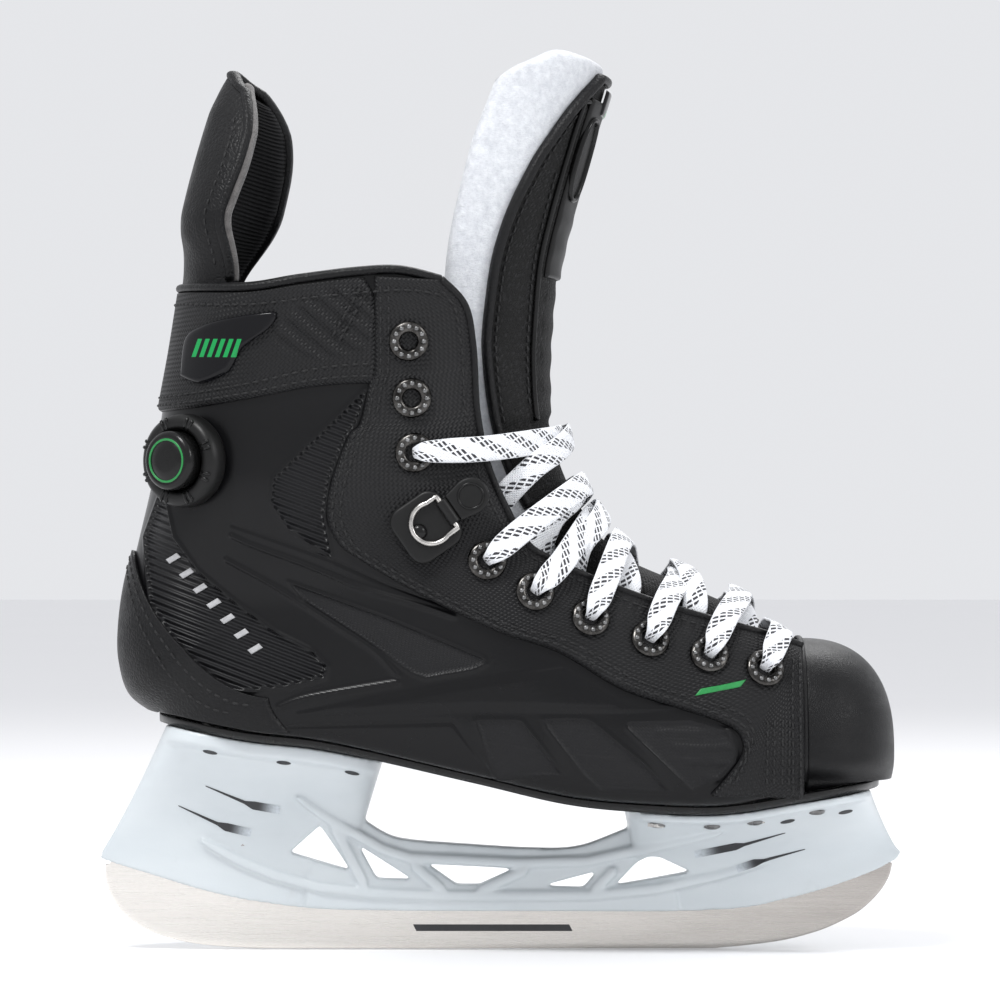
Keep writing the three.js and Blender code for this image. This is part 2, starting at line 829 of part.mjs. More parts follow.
// A rivet's head clears the outsole's facets, which bend more as the sole gets steeper.
const HEAD_SEAT = SOLE_TOP + 0.35 * Math.max(1, STRETCH.z) ** 2;
const rivetHole = (site, low, high, radius) =>
  turned(
    [
      [0, low],
      [radius, low],
      [radius, high],
      [0, high],
    ],
    8,
    facing(site.point, site.normal),
  );
const rivetHoles = rivetSites
  .map((s) => rivetHole(s, SOLE_BOTTOM - 3, 3, RIVET_RADIUS + 0.3))
  .reduce((a, b) => a.add(b));
add(
  "outsole",
  plate(HEEL_FOOT[0], SOLE_TOE, 16, soleHalf, SOLE_BOTTOM, SOLE_TOP).subtract(
    rivetHoles,
  ),
  MATERIALS.outsole,
);
const FOOTBED_LIFT = SOLE_TOP + RIVET_HEAD_HEIGHT + 1;
const FOOTBED_TOE_ROOM = 17.1; // inside the toe cap, ahead of the footbed
const FOOTBED_TOE = CAP.x + CAP.length - (TOE_CAP_WALL + FOOTBED_TOE_ROOM) / STRETCH.x;
const footbedHalf = (x) =>
  Math.max(
    (halfWidth(x, soleZ(x) + 8) - FOOTBED_MARGIN / STRETCH.y) *
      dome((x + 113) / 22, 2) *
      dome((FOOTBED_TOE - x) / 24, 2.2),
    0.5,
  );
add(
  "footbed",
  plate(
    -112,
    FOOTBED_TOE - 1,
    16,
    footbedHalf,
    FOOTBED_LIFT,
    FOOTBED_LIFT + FOOTBED_THICKNESS,
  ),
  MATERIALS.liner,
);

// ---- Tongue: cover and felt, below and above the flex line ----
const ridgeLength = TONGUE_RIDGE.getLength();
const ridgeShare = (test) => steps(400).find((t) => test(TONGUE_RIDGE.getPointAt(t)));
const FLEX_Z = 188;
const TONGUE_START = ridgeShare((p) => p.x < 93.5);
const FLEX_SHARE = ridgeShare((p) => p.x < 30 && p.y > FLEX_Z);
const tongueHalf = (t) =>
  lerpTable(
    [
      [0, 24],
      [0.2, 27],
      [0.45, 29.5],
      [0.62, 31],
      [0.8, 37],
      [1, 40],
    ],
    t,
  );
const tongueDepth = (t) =>
  lerpTable(
    [
      [0, 16],
      [0.25, 22],
      [0.45, 32],
      [0.6, 40],
      [0.85, 42],
      [1, 38],
    ],
    t,
  );
// psi is 0 on the ridge and +-90 degrees at the wings' edges.
function tonguePoint(t, psi, offset) {
  const p = TONGUE_RIDGE.getPointAt(clamp01(t));
  const d = TONGUE_RIDGE.getTangentAt(clamp01(t));
  const inward = new THREE.Vector2(-d.y, d.x); // towards the foot
  const e = 2 / 2.2;
  const reach = tongueDepth(t) - offset;
  const depth = offset + reach * (1 - Math.abs(Math.cos(psi)) ** e);
  const y = (tongueHalf(t) - offset) * power(Math.sin(psi), e);
  const beyond = (t - clamp01(t)) * ridgeLength;
  return world(
    p.x + inward.x * depth + d.x * beyond,
    centreY(p.x) + y,
    p.y + inward.y * depth + d.y * beyond,
  );
}
const COVER_PSI = THREE.MathUtils.degToRad(66);
const FELT_PSI = THREE.MathUtils.degToRad(88);
const COVER_END = 0.975;
// The felt's top edge is rounded: highest some way in from the front.
const feltEnd = (psi) => {
  const depth = tongueDepth(0.95) * (1 - Math.abs(Math.cos(psi)) ** (2 / 2.2));
  return 1.02 - 0.105 * (Math.max(0, depth - 12) / 30) ** 2;
};
const coverEnd = (psi) => COVER_END - 0.1 * Math.abs(psi / COVER_PSI) ** 2.5;
const FLEX_GAP = 0.6 / ridgeLength;
function tongueSkin({ from, to, psi, columns, rows, outer, inner }) {
  const layer = (offset) =>
    steps(rows).map((r) =>
      steps(columns, -psi, psi).map((a) =>
        tonguePoint(mix(from, typeof to === "function" ? to(a) : to, r), a, offset),
      ),
    );
  return gridSolid(layer(outer), layer(inner));
}
const feltOut = TONGUE_COVER_WALL + GAP * 1.5;
const feltIn = feltOut + TONGUE_FELT_WALL;
const tongue = {
  lower: { from: TONGUE_START, to: FLEX_SHARE - FLEX_GAP, rows: 10 },
  upper: { from: FLEX_SHARE, rows: 8 },
};
add(
  "tongue_cover_lower",
  tongueSkin({
    ...tongue.lower,
    psi: COVER_PSI,
    columns: 6,
    outer: 0,
    inner: TONGUE_COVER_WALL,
  }),
  MATERIALS.fabric,
);
add(
  "tongue_felt_lower",
  tongueSkin({
    ...tongue.lower,
    psi: FELT_PSI,
    columns: 8,
    outer: feltOut,
    inner: feltOut + TONGUE_FELT_WALL * 0.6,
  }),
  MATERIALS.felt,
);
add(
  "tongue_cover_upper",
  tongueSkin({
    ...tongue.upper,
    to: coverEnd,
    psi: COVER_PSI,
    columns: 6,
    outer: 0,
    inner: TONGUE_COVER_WALL,
  }),
  MATERIALS.fabric,
);
add(
  "tongue_felt_upper",
  tongueSkin({
    ...tongue.upper,
    to: feltEnd,
    psi: FELT_PSI,
    columns: 8,
    outer: feltOut,
    inner: feltIn,
  }),
  MATERIALS.felt,
);
add(
  "tongue_shin_guard",
  tongueSkin({
    from: FLEX_SHARE + 0.2,
    to: COVER_END - 0.02,
    rows: 4,
    psi: THREE.MathUtils.degToRad(30),
    columns: 5,
    outer: -2.2,
    inner: -0.6,
  }),
  MATERIALS.rubber,
);

// ---- Tendon guard: a channel open to the front ----
const guardHalf = (t) => 30 * (1 - 0.12 * t) * (1 - clamp01(t) ** 3.2 * 0.9);
const guardReach = (t) =>
  lerpTable(
    [
      [0, 19],
      [0.3, 24],
      [0.6, 27],
      [0.8, 23],
      [1, 6],
    ],
    t,
  );
const GUARD_POST = GUARD_BACK.getPointAt(0);
function guardPoint(t, psi, offset) {
  const p = GUARD_BACK.getPointAt(clamp01(t));
  const e = 2 / 2.3;
  const depth =
    offset + (guardReach(t) - offset) * (1 - Math.abs(Math.cos(psi)) ** e);
  const side = Math.max(guardHalf(t) - offset, 0.6) * power(Math.sin(psi), e);
  const twist = THREE.MathUtils.degToRad(GUARD_TWIST) * smooth(t / 0.35);
  const [c, s] = [Math.cos(twist), Math.sin(twist)];
  // The twist turns the channel about its own back.
  return world(p.x + depth * c + side * s, side * c - depth * s, p.y);
}
const GUARD_BASE = 0.012;
function guardSkin(outer, inner, psi, end, rows) {
  const layer = (offset) =>
    steps(rows).map((r) =>
      steps(8, -psi, psi).map((a) =>
        guardPoint(
          mix(GUARD_BASE, end - 0.1 * Math.abs(a / psi) ** 3, r),
          a,
          offset,
        ),
      ),
    );
  return gridSolid(layer(outer), layer(inner));
}
add(
  "tendon_guard",
  guardSkin(0, GUARD_WALL, THREE.MathUtils.degToRad(86), 1, 7),
  MATERIALS.fabric,
);
add(
  "tendon_guard_pad",
  guardSkin(
    GUARD_WALL + GAP * 1.5,
    GUARD_WALL + GAP * 1.5 + GUARD_PAD_WALL,
    THREE.MathUtils.degToRad(85),
    0.94,
    6,
  ),
  MATERIALS.greyFelt,
);

// ---- Eyelet nodes ----
for (const side of ["lateral", "medial"])
  eyeletSites[side].forEach((site, i) =>
    add("eyelet_" + side + "_" + (i + 1), eyelet(site), MATERIALS.eyelet),
  );

// ---- Pump ----
const PUMP_LIFT = 4.4; // the round base clears the curved shell
add(
  "pump_base",
  turned(
    [
      [0, -PUMP_SEAT_DEPTH + 1],
      [PUMP_BOSS_RADIUS, -PUMP_SEAT_DEPTH + 1],
      [PUMP_BOSS_RADIUS, PUMP_LIFT - 3.6],
      [PUMP_RADIUS, PUMP_LIFT - 1],
      [PUMP_RADIUS, PUMP_LIFT + 1.5],
      [PUMP_RADIUS - 2.5, PUMP_LIFT + PUMP_HEIGHT - 1],
      [PUMP_BORE + 0.8, PUMP_LIFT + PUMP_HEIGHT],
      [PUMP_BORE, PUMP_LIFT + PUMP_HEIGHT - 0.6],
      [PUMP_BORE, PUMP_LIFT + PUMP_FLOOR],
      [0, PUMP_LIFT + PUMP_FLOOR],
    ],
    20,
    pumpMatrix,
  ),
  MATERIALS.rubber,
);
const buttonFoot = PUMP_LIFT + PUMP_FLOOR + PUMP_TRAVEL + RUNNING_GAP;
const buttonTop = PUMP_LIFT + PUMP_HEIGHT + PUMP_BUTTON_HEIGHT;
add(
  "pump_button",
  turned(
    [
      [0, buttonFoot],
      [PUMP_BUTTON_RADIUS, buttonFoot],
      [PUMP_BUTTON_RADIUS, buttonTop - 2.4],
      [PUMP_BUTTON_RADIUS - 1.2, buttonTop - 0.9],
      [PUMP_BUTTON_RADIUS * 0.55, buttonTop - 0.15],
      [0, buttonTop],
    ],
    20,
    pumpMatrix,
  ),
  MATERIALS.rubber,
);

// ---- Release valve ----
// A flat frame on the facing: local X runs from the housing towards the tab.
const releaseUp = new THREE.Vector3(0.82, 0, 0.57);
const releaseZ = releaseSite.normal;
const releaseY = new THREE.Vector3()
  .crossVectors(releaseZ, releaseUp)
  .normalize();
const releaseX = new THREE.Vector3().crossVectors(releaseY, releaseZ);
const releaseFrame = new THREE.Matrix4()
  .makeBasis(releaseX, releaseY, releaseZ)
  .setPosition(releaseSite.point);
const HOUSING_LIFT = facingTop + 1;
const HOUSING_FLOOR = HOUSING_LIFT + 0.8;
const HOUSING_RIM = HOUSING_LIFT + 2.2;
const inRelease = (g) => toManifold(g.applyMatrix4(releaseFrame));
function roundedPlate(x0, x1, half, radius, z0, z1) {
  const s = new THREE.Shape();
  s.moveTo(x0 + radius, -half);
  s.lineTo(x1 - radius, -half);
  s.absarc(x1 - radius, -half + radius, radius, -Math.PI / 2, 0);
  s.absarc(x1 - radius, half - radius, radius, 0, Math.PI / 2);
  s.absarc(x0 + radius, half - radius, radius, Math.PI / 2, Math.PI);
  s.absarc(x0 + radius, -half + radius, radius, Math.PI, Math.PI * 1.5);
  const g = new THREE.ExtrudeGeometry(s, {
    depth: z1 - z0,
    bevelEnabled: false,
    curveSegments: 4,
  });
  g.translate(0, 0, z0);
  return inRelease(g);
}
const HOUSING = { back: -13, front: 8, half: 11 };
const housing = roundedPlate(
  HOUSING.back,
  HOUSING.front,
  HOUSING.half,
  4,
  HOUSING_LIFT,
  HOUSING_RIM,
)
  .subtract(
    roundedPlate(
      HOUSING.back + 2,
      HOUSING.front + 5,
      HOUSING.half - 2,
      3,
      HOUSING_FLOOR,
      HOUSING_RIM + 3,
    ),
  )
  .subtract(valveHole);
add("release_housing", housing, MATERIALS.rubber);
add(
  "release_valve",
  turned(
    [
      [0, -4.3],
      [VALVE_RADIUS, -4.3],
      [VALVE_RADIUS, HOUSING_FLOOR + 0.4],
      [VALVE_RADIUS * 0.7, HOUSING_FLOOR + 1.3],
      [0, HOUSING_FLOOR + 1.6],
    ],
    10,
    facing(releaseSite.point, releaseSite.normal),
  ),
  MATERIALS.rubber,
);
// The D-ring lies over the valve and hangs from its straight bar.
const BAR_X = 6.5;
const RING_HEIGHT = HOUSING_RIM + 1.6;
const ringPoint = (x, y) => new THREE.Vector3(x, y, RING_HEIGHT);
const bow = steps(12, Math.PI / 2, Math.PI * 1.5).map((a) =>
  ringPoint(-1 + RING_RADIUS * Math.cos(a), RING_RADIUS * Math.sin(a)),
);
const ringCorners = [
  ringPoint(BAR_X, 0.4),
  ringPoint(BAR_X, RING_RADIUS - 1.2),
  ringPoint(BAR_X - 1.2, RING_RADIUS),
  ...bow,
  ringPoint(BAR_X - 1.2, -RING_RADIUS),
  ringPoint(BAR_X, -RING_RADIUS + 1.2),
  ringPoint(BAR_X, -0.4),
];
const ringCurve = new THREE.CatmullRomCurve3(ringCorners, true, "centripetal");
// A closed band of round sections along the flat ring curve.
const ring = (() => {
  const count = 22;
  const sides = 6;
  const positions = [];
  const triangles = [];
  for (let i = 0; i < count; i++) {
    const p = ringCurve.getPoint(i / count);
    const t = ringCurve.getTangent(i / count);
    const outward = new THREE.Vector3(t.y, -t.x, 0).normalize();
    for (let k = 0; k < sides; k++) {
      const a = (k / sides) * Math.PI * 2;
      const q = p.clone().addScaledVector(outward, RING_WIRE_RADIUS * Math.cos(a));
      q.z += RING_WIRE_RADIUS * Math.sin(a);
      positions.push(q.applyMatrix4(releaseFrame));
    }
  }
  const at = (i, k) => (i % count) * sides + (k % sides);
  for (let i = 0; i < count; i++)
    for (let k = 0; k < sides; k++) {
      triangles.push(at(i, k), at(i, k + 1), at(i + 1, k + 1));
      triangles.push(at(i, k), at(i + 1, k + 1), at(i + 1, k));
    }
  return solidFrom(positions, triangles);
})();
add("release_ring", ring, MATERIALS.nickel);
// Rubber pull tab: a strap that loops round the ring's bar and is pinned at its far end.
const TAB_BORE = RING_WIRE_RADIUS + 0.35;
const TAB_HALF = 5;
const tabBar = (() => {
  const g = new THREE.CylinderGeometry(TAB_BORE + 1.1, TAB_BORE + 1.1, TAB_HALF * 2, 12);
  g.translate(BAR_X, 0, RING_HEIGHT);
  return inRelease(g);
})();
const tabBore = (() => {
  const g = new THREE.CylinderGeometry(TAB_BORE, TAB_BORE, TAB_HALF * 2 + 6, 12);
  g.translate(BAR_X, 0, RING_HEIGHT);
  return inRelease(g);
})();
const TAB_FAR = 23;
const tab = roundedPlate(
  BAR_X + 0.8,
  TAB_FAR,
  6.5,
  6,
  RING_HEIGHT - 0.9,
  RING_HEIGHT + 1.3,
)
  .add(tabBar)
  .subtract(tabBore);
add("release_tab", tab, MATERIALS.rubber);

// ---- Blade holder ----
const flangeZ = (x) => soleZ(x) + FLANGE_TOP / STRETCH.z;
// Bottom edge of the holder, which is also the line that the runner follows.
const HOLDER_EDGE = spline(
  [-144, 34],
  [-142.5, 32],
  [-125, 26.5],
  [-105, 20.5],
  [-85, 16.5],
  [-58, 14],
  [7, 13.5],
  [77, 13.8],
  [103, 17.9],
  [124, 24],
  [140.5, 31],
  [144, 35.5],
);
function edgeZ(x) {
  const points = HOLDER_SAMPLES;
  for (let i = 1; i < points.length; i++)
    if (x <= points[i].x) {
      const [a, b] = [points[i - 1], points[i]];
      return mix(a.y, b.y, clamp01((x - a.x) / (b.x - a.x)));
    }
  return points.at(-1).y;
}
const HOLDER_SAMPLES = HOLDER_EDGE.getPoints(60);
// A tower flares from the narrow web at the runner to the wide flange under the boot.
function towerSolid({ top, foot, width }) {
  const columns = 12;
  const rows = [0, 0.25, 0.45, 0.62, 0.78, 0.91, 0.915, 1];
  const side = (s) =>
    rows.map((r) =>
      steps(columns).map((t) => {
        const k = mix(t, (1 - Math.cos(t * Math.PI)) / 2, 0.8);
        const x = mix(mix(foot[0], foot[1], k), mix(top[0], top[1], k), r);
        const z = mix(edgeZ(x), flangeZ(mix(top[0], top[1], k)), r);
        const ends = dome(k / 0.22, 2.2) * dome((1 - k) / 0.22, 2.2);
        const full = (width / 2) * mix(0.3, 1, ends);
        const web = (HOLDER_WEB / 2) * mix(0.55, 1, ends);
        const flare = r > 0.91 ? 1 : 0.86 * (r / 0.91) ** 2.4;
        const y = mix(web, full, flare);
        const shift = centreY(x) * 0.5 * smooth(r) * STRETCH.y;
        return new THREE.Vector3(x * STRETCH.x, shift + s * y, z * STRETCH.z);
      }),
    );
  return gridSolid(side(-1), side(1));
}
const edgeRun = (from, to, n) => steps(n, from, to).map((x) => [x, edgeZ(x)]);
const BRIDGE = [
  ...edgeRun(-70, 64, 10),
  [66, 40],
  [50, 45],
  [43, 42],
  [31, 37.2],
  [22.8, 35.8],
  [7, 36.1],
  [-30, 38.6],
  [-40, 40.2],
  [-56, 51],
  [-72, 46],
];
const WINDOWS = [
  [
    [-75.5, 34.4],
    [-64.3, 44.5],
    [-53.5, 28],
  ],
  [
    [-51, 37.4],
    [-31.1, 24.7],
    [-44.3, 25.2],
  ],
  [
    [-26.5, 30.6],
    [7.7, 28.6],
    [-6.9, 23],
    [-15.5, 23],
  ],
  [
    [14.3, 22.4],
    [35, 27.9],
    [30, 21.9],
  ],
  [
    [41, 22.7],
    [49, 31],
    [53.1, 33.3],
    [57, 33.2],
    [68.8, 27.5],
  ],
];
const windowCut = WINDOWS.map((w) => sideExtrusion(w, 90)).reduce((a, b) => a.add(b));
const RUNNER_TOP = RUNNER_GRIP / STRETCH.z;
// Runner: sole of the blade, its rounded ends, and a top edge inside the holder.
const RUNNER_ENDS = [-141, 140.5];
const RUNNER_SOLE = [
  [-141.3, 30],
  [-141, 23.5],
  [-138.5, 17.4],
  [-134.5, 12.2],
  [-127.7, 7.4],
  [-120, 4.2],
  [-108.5, 1.6],
  [-92, 0.3],
  [-70, 0],
  [62, 0],
  [80, 0.4],
  [98.3, 2.4],
  [110, 5],
  [119, 8.2],
  [128.5, 13.2],
  [135.5, 19.6],
  [139.3, 25.5],
  [140.6, 30.5],
];
const TANG_HALF = 8;
const TANG_RISE = 9; // above the blade's top edge
const runnerTop = (x) => edgeZ(x) + RUNNER_TOP;
const tang = (x) => [
  [x + TANG_HALF, runnerTop(x + TANG_HALF)],
  [x + TANG_HALF, runnerTop(x) + TANG_RISE / STRETCH.z],
  [x - TANG_HALF, runnerTop(x) + TANG_RISE / STRETCH.z],
  [x - TANG_HALF, runnerTop(x - TANG_HALF)],
];
const WELLS = [TOWERS.front.well, TOWERS.rear.well];
const topRun = (from, to, n) => steps(n, from, to).map((x) => [x, runnerTop(x)]);
const END_INSET = 5; // the blade's top starts this far in from its ends
const runnerOutline = [
  ...RUNNER_SOLE,
  ...topRun(RUNNER_ENDS[1] - END_INSET, WELLS[0] + TANG_HALF + 2, 4),
  ...tang(WELLS[0]),
  ...topRun(WELLS[0] - TANG_HALF - 2, WELLS[1] + TANG_HALF + 2, 8),
  ...tang(WELLS[1]),
  ...topRun(WELLS[1] - TANG_HALF - 2, RUNNER_ENDS[0] + END_INSET, 4),
];
const runner = sideExtrusion(runnerOutline, RUNNER_THICKNESS);
add("runner", runner, MATERIALS.steel);

const SLOT_CLEARANCE = 0.3;
const slotOutline = [
  [RUNNER_ENDS[0] - 8, -5],
  [RUNNER_ENDS[1] + 8, -5],
  ...steps(20, RUNNER_ENDS[1] + 8, RUNNER_ENDS[0] - 8).map((x) => [
    x,
    runnerTop(clampTo(x, RUNNER_ENDS[0] + 1, RUNNER_ENDS[1] - 1)) + 0.5,
  ]),
];

const tangSlot = (x) => {
  const half = TANG_HALF + 0.5;
  const high = runnerTop(x) + TANG_RISE / STRETCH.z + 0.5;
  return sideExtrusion(
    [
      [x - half, 5],
      [x + half, 5],
      [x + half, high],
      [x - half, high],
    ],
    RUNNER_THICKNESS + 2 * SLOT_CLEARANCE,
  );
};
const slot = sideExtrusion(slotOutline, RUNNER_THICKNESS + 2 * SLOT_CLEARANCE)
  .add(tangSlot(WELLS[0]))
  .add(tangSlot(WELLS[1]));
const STUD_OVERLAP = 7; // how far the stud's fork straddles the tang
function wellParts(x) {
  const tangTop = (runnerTop(x) + TANG_RISE / STRETCH.z) * STRETCH.z;
  const place = new THREE.Vector3(x * STRETCH.x, 0, tangTop);
  const seat = 4; // thickness of plastic between the tang's slot and the nut
  return { place, seat, top: flangeZ(x) * STRETCH.z - tangTop };
}
const upright = new THREE.Vector3(0, 0, 1);
const wellCuts = WELLS.map((x) => {
  const { place, seat, top } = wellParts(x);
  const bore = STUD_RADIUS + 0.3;
  return turned(
    [
      [0, -STUD_OVERLAP - 0.5],
      [bore, -STUD_OVERLAP - 0.5],
      [bore, seat],
      [HOLDER_WELL_RADIUS, seat],
      [HOLDER_WELL_RADIUS, top + 5],
      [0, top + 5],
    ],
    12,
    facing(place, upright),
  );
}).reduce((a, b) => a.add(b));
const flangeHoles = rivetSites
  .map((s) => rivetHole(s, -18, 0, RIVET_RADIUS + 0.3))
  .reduce((a, b) => a.add(b));
// A pocket under each flange gives the rivet's tail room.
const rivetPockets = rivetSites
  .map((s) => rivetHole(s, -22, FLANGE_TOP - FLANGE_THICKNESS, RIVET_HEAD_RADIUS + 0.8))
  .reduce((a, b) => a.add(b));
const holder = towerSolid(TOWERS.rear)
  .add(towerSolid(TOWERS.front))
  .add(sideExtrusion(BRIDGE, HOLDER_WEB))
  .subtract(windowCut)
  .subtract(slot)
  .subtract(wellCuts)
  .subtract(flangeHoles)
  .subtract(rivetPockets);
add("blade_holder", holder, MATERIALS.holder);
WELLS.forEach((x, i) => {
  const { place, seat } = wellParts(x);
  const nutFoot = seat + 0.3;
  const stud = turned(
    [
      [0, -STUD_OVERLAP],
      [STUD_RADIUS, -STUD_OVERLAP],
      [STUD_RADIUS, nutFoot],
      [NUT_RADIUS, nutFoot],
      [NUT_RADIUS, nutFoot + NUT_HEIGHT],
      [STUD_RADIUS, nutFoot + NUT_HEIGHT],
      [STUD_RADIUS, nutFoot + NUT_HEIGHT + 2],
      [0, nutFoot + NUT_HEIGHT + 2],
    ],
    12,
    facing(place, upright),
  );
  const forkGap = new THREE.BoxGeometry(
    STUD_RADIUS * 3,
    RUNNER_THICKNESS + 0.4,
    STUD_OVERLAP * 2 + 0.4,
  ).translate(place.x, place.y, place.z);
  const name = i === 0 ? "runner_stud_front" : "runner_stud_rear";
  const cut = toManifold(mergedBox(forkGap));
  add(name, stud.subtract(cut), MATERIALS.nickel);
});
function mergedBox(g) {
  g.deleteAttribute("normal");
  g.deleteAttribute("uv");
  return mergeVertices(g);
}
for (const site of rivetSites)
  add(
    site.name,
    turned(
      [
        [0, RIVET_TAIL - 1.2],
        [RIVET_HEAD_RADIUS - 0.6, RIVET_TAIL - 1.2],
        [RIVET_HEAD_RADIUS - 0.6, RIVET_TAIL],
        [RIVET_RADIUS, RIVET_TAIL],
        [RIVET_RADIUS, HEAD_SEAT],
        [RIVET_HEAD_RADIUS, HEAD_SEAT],
        [RIVET_HEAD_RADIUS * 0.6, HEAD_SEAT + RIVET_HEAD_HEIGHT * 0.8],
        [0, HEAD_SEAT + RIVET_HEAD_HEIGHT * 0.8],
      ],
      8,
      facing(site.point, site.normal),
    ),
    MATERIALS.nickel,
  );

// ---- Lace ----
const LACE_OUT = facingTop + EYELET_LIFT + EYELET_RIM_HEIGHT + LACE_RADIUS + 1.1;
const LACE_IN = -SHELL_WALL - EYELET_REACH - LACE_RADIUS - 0.3;
const onSite = (site, offset) => site.point.clone().addScaledVector(site.normal, offset);
// The ridge crossing above each laced eyelet, by its side-view place.
const CROSSINGS = [
  [18, 182],
  [26, 164],
  [32, 154],
  [41, 143.5],
  [63, 132.5],
  [84, 123],
  [100, 114],
];
const crossingOf = (index) => CROSSINGS[index - LACED_FROM];
const nearest = (points, x, z) =>
  points.reduce((best, p) =>
    Math.hypot(p.x - x, p.y - z) < Math.hypot(best.x - x, best.y - z) ? p : best,
  );
const THROAT_SAMPLES = THROAT_EDGE.getPoints(120);
const RIDGE_SHARES = steps(400).map((t) => {
  const p = TONGUE_RIDGE.getPointAt(t);
  return { x: p.x, y: p.y, share: t };
});
const shareOf = ([x, z]) => nearest(RIDGE_SHARES, x, z).share;
const midway = ([ax, az], [bx, bz]) => [(ax + bx) / 2, (az + bz) / 2];
// A place on the facing's edge, over or under it, where a strand passes it.
function edgePass([x, z], side, offset) {
  const p = nearest(THROAT_SAMPLES, x, z);
  return sidePoint(p.x - 1, p.y - 1, side, offset).point;
}
const other = { lateral: "medial", medial: "lateral" };
const LOW_LIFT = LACE_RADIUS + 1.4;
const HIGH_LIFT = 3 * LACE_RADIUS + 1.7;
const EDGE_OVER = LACE_OUT - 0.4;
const EDGE_UNDER = -SHELL_WALL - LACE_RADIUS - 3;
const degrees = THREE.MathUtils.degToRad;
// From the outside into an eyelet, by way of the facing's edge.
function landing(index, side, from) {
  const site = eyeletSites[side][index];
  const place = EYELET_PLACES[index];
  return [
    edgePass(midway(place, from), side, EDGE_OVER),
    onSite(site, LACE_OUT),
    onSite(site, 0),
    onSite(site, LACE_IN),
  ];
}
// Under the facing from one eyelet, over the tongue and into the next one up on the other side.
function strand(from, index, lift) {
  const s = sideSign[from];
  const [here, next] = [EYELET_PLACES[index], crossingOf(index - 1)];
  const [low, high] = [shareOf(crossingOf(index)), shareOf(next)];
  const leaving = mix(low, high, 0.6);
  return [
    edgePass(midway(here, next), from, EDGE_UNDER - (index > 7 ? 4.2 : 0)),
    tonguePoint(leaving, s * degrees(60), -lift - 0.5),
    tonguePoint(mix(leaving, high, 0.5), s * degrees(32), -lift),
    tonguePoint(high, 0, -lift),
    tonguePoint(high, -s * degrees(30), -lift - 1),
    ...landing(index - 1, other[from], next),
  ];
}
// The loose ends are tucked in: down the lining and forward over the footbed's edge.
const TAIL_ROUTE = [
  [-27, 172],
  [-40, 158],
  [-44, 136],
  [-42, 110],
  [-34, 88],
  [-22, 78],
  [4, 71],
  [36, 64],
  [66, 62.5],
  [84, 63],
];
const TAIL_INSET = -LINER_DEPTH - LINER_WALL - LACE_RADIUS - 1.2;
const tail = (side) =>
  TAIL_ROUTE.map(([x, z]) => sidePoint(x, z, side, TAIL_INSET).point);
function laceRoute() {
  const last = EYELET_PLACES.length - 1;
  const half = (side) => {
    const points = [];
    let here = side;
    for (let i = last; i > LACED_FROM; i--) {
      points.push(...strand(here, i, side === "lateral" ? LOW_LIFT : HIGH_LIFT));
      here = other[here];
    }
    return points;
  };
  const bar = shareOf(crossingOf(last));
  return [
    ...tail("lateral").reverse(),
    ...half("lateral").reverse(),
    ...landing(last, "lateral", crossingOf(last)).reverse(),
    tonguePoint(bar, -degrees(25), -LOW_LIFT),
    tonguePoint(bar, degrees(25), -LOW_LIFT),
    ...landing(last, "medial", crossingOf(last)),
    ...half("medial"),
    ...tail("medial"),
  ];
}
const lacePoints = laceRoute();
add("lace", sweep(lacePoints, LACE_RADIUS, 6), MATERIALS.lace);

export default skate;
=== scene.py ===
"""Looks of the ice hockey skate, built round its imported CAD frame.

Shapes are worked out in millimetres in the frame's own axes and written to meshes in metres.
"""

import math

import bmesh
import bpy
import numpy as np
from mathutils import Matrix, Vector


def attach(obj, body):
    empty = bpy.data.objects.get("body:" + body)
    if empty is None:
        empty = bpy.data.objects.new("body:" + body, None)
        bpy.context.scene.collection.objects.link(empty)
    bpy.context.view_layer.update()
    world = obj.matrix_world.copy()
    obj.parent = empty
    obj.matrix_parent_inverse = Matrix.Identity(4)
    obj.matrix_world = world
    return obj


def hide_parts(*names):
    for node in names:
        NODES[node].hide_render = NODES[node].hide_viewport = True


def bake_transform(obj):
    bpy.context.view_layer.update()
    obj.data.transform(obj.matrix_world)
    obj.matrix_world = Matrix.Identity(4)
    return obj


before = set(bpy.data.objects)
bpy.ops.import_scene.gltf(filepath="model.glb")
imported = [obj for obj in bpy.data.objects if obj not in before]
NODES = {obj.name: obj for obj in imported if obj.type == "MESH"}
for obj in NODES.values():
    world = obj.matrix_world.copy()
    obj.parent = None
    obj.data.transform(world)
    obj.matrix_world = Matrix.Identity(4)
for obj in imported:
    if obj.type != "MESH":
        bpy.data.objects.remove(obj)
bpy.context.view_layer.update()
MM = 0.001


# ---------------------------------------------------------------- camera, floor and light
CAMERA_DISTANCE = 2.0
CAMERA_HEIGHT = 0.1607
FRAME_WIDTH = 0.3587  # what the picture spans on the skate's middle plane
SENSOR = 36.0


def look_at(obj, target):
    direction = Vector(target) - obj.location
    obj.rotation_euler = direction.to_track_quat("-Z", "Y").to_euler()


def make_camera():
    data = bpy.data.cameras.new("camera")
    data.sensor_width = SENSOR
    data.lens = SENSOR * CAMERA_DISTANCE / FRAME_WIDTH
    data.clip_start = 0.05
    camera = bpy.data.objects.new("camera", data)
    camera.location = (0, -CAMERA_DISTANCE, CAMERA_HEIGHT)
    bpy.context.collection.objects.link(camera)
    look_at(camera, (0, 0, CAMERA_HEIGHT))
    bpy.context.scene.camera = camera


def area_light(name, place, target, size, watts, size_y=None):
    data = bpy.data.lights.new(name, "AREA")
    data.energy = watts
    data.size = size
    if size_y:
        data.shape = "RECTANGLE"
        data.size_y = size_y
    light = bpy.data.objects.new(name, data)
    light.location = place
    bpy.context.collection.objects.link(light)
    look_at(light, target)


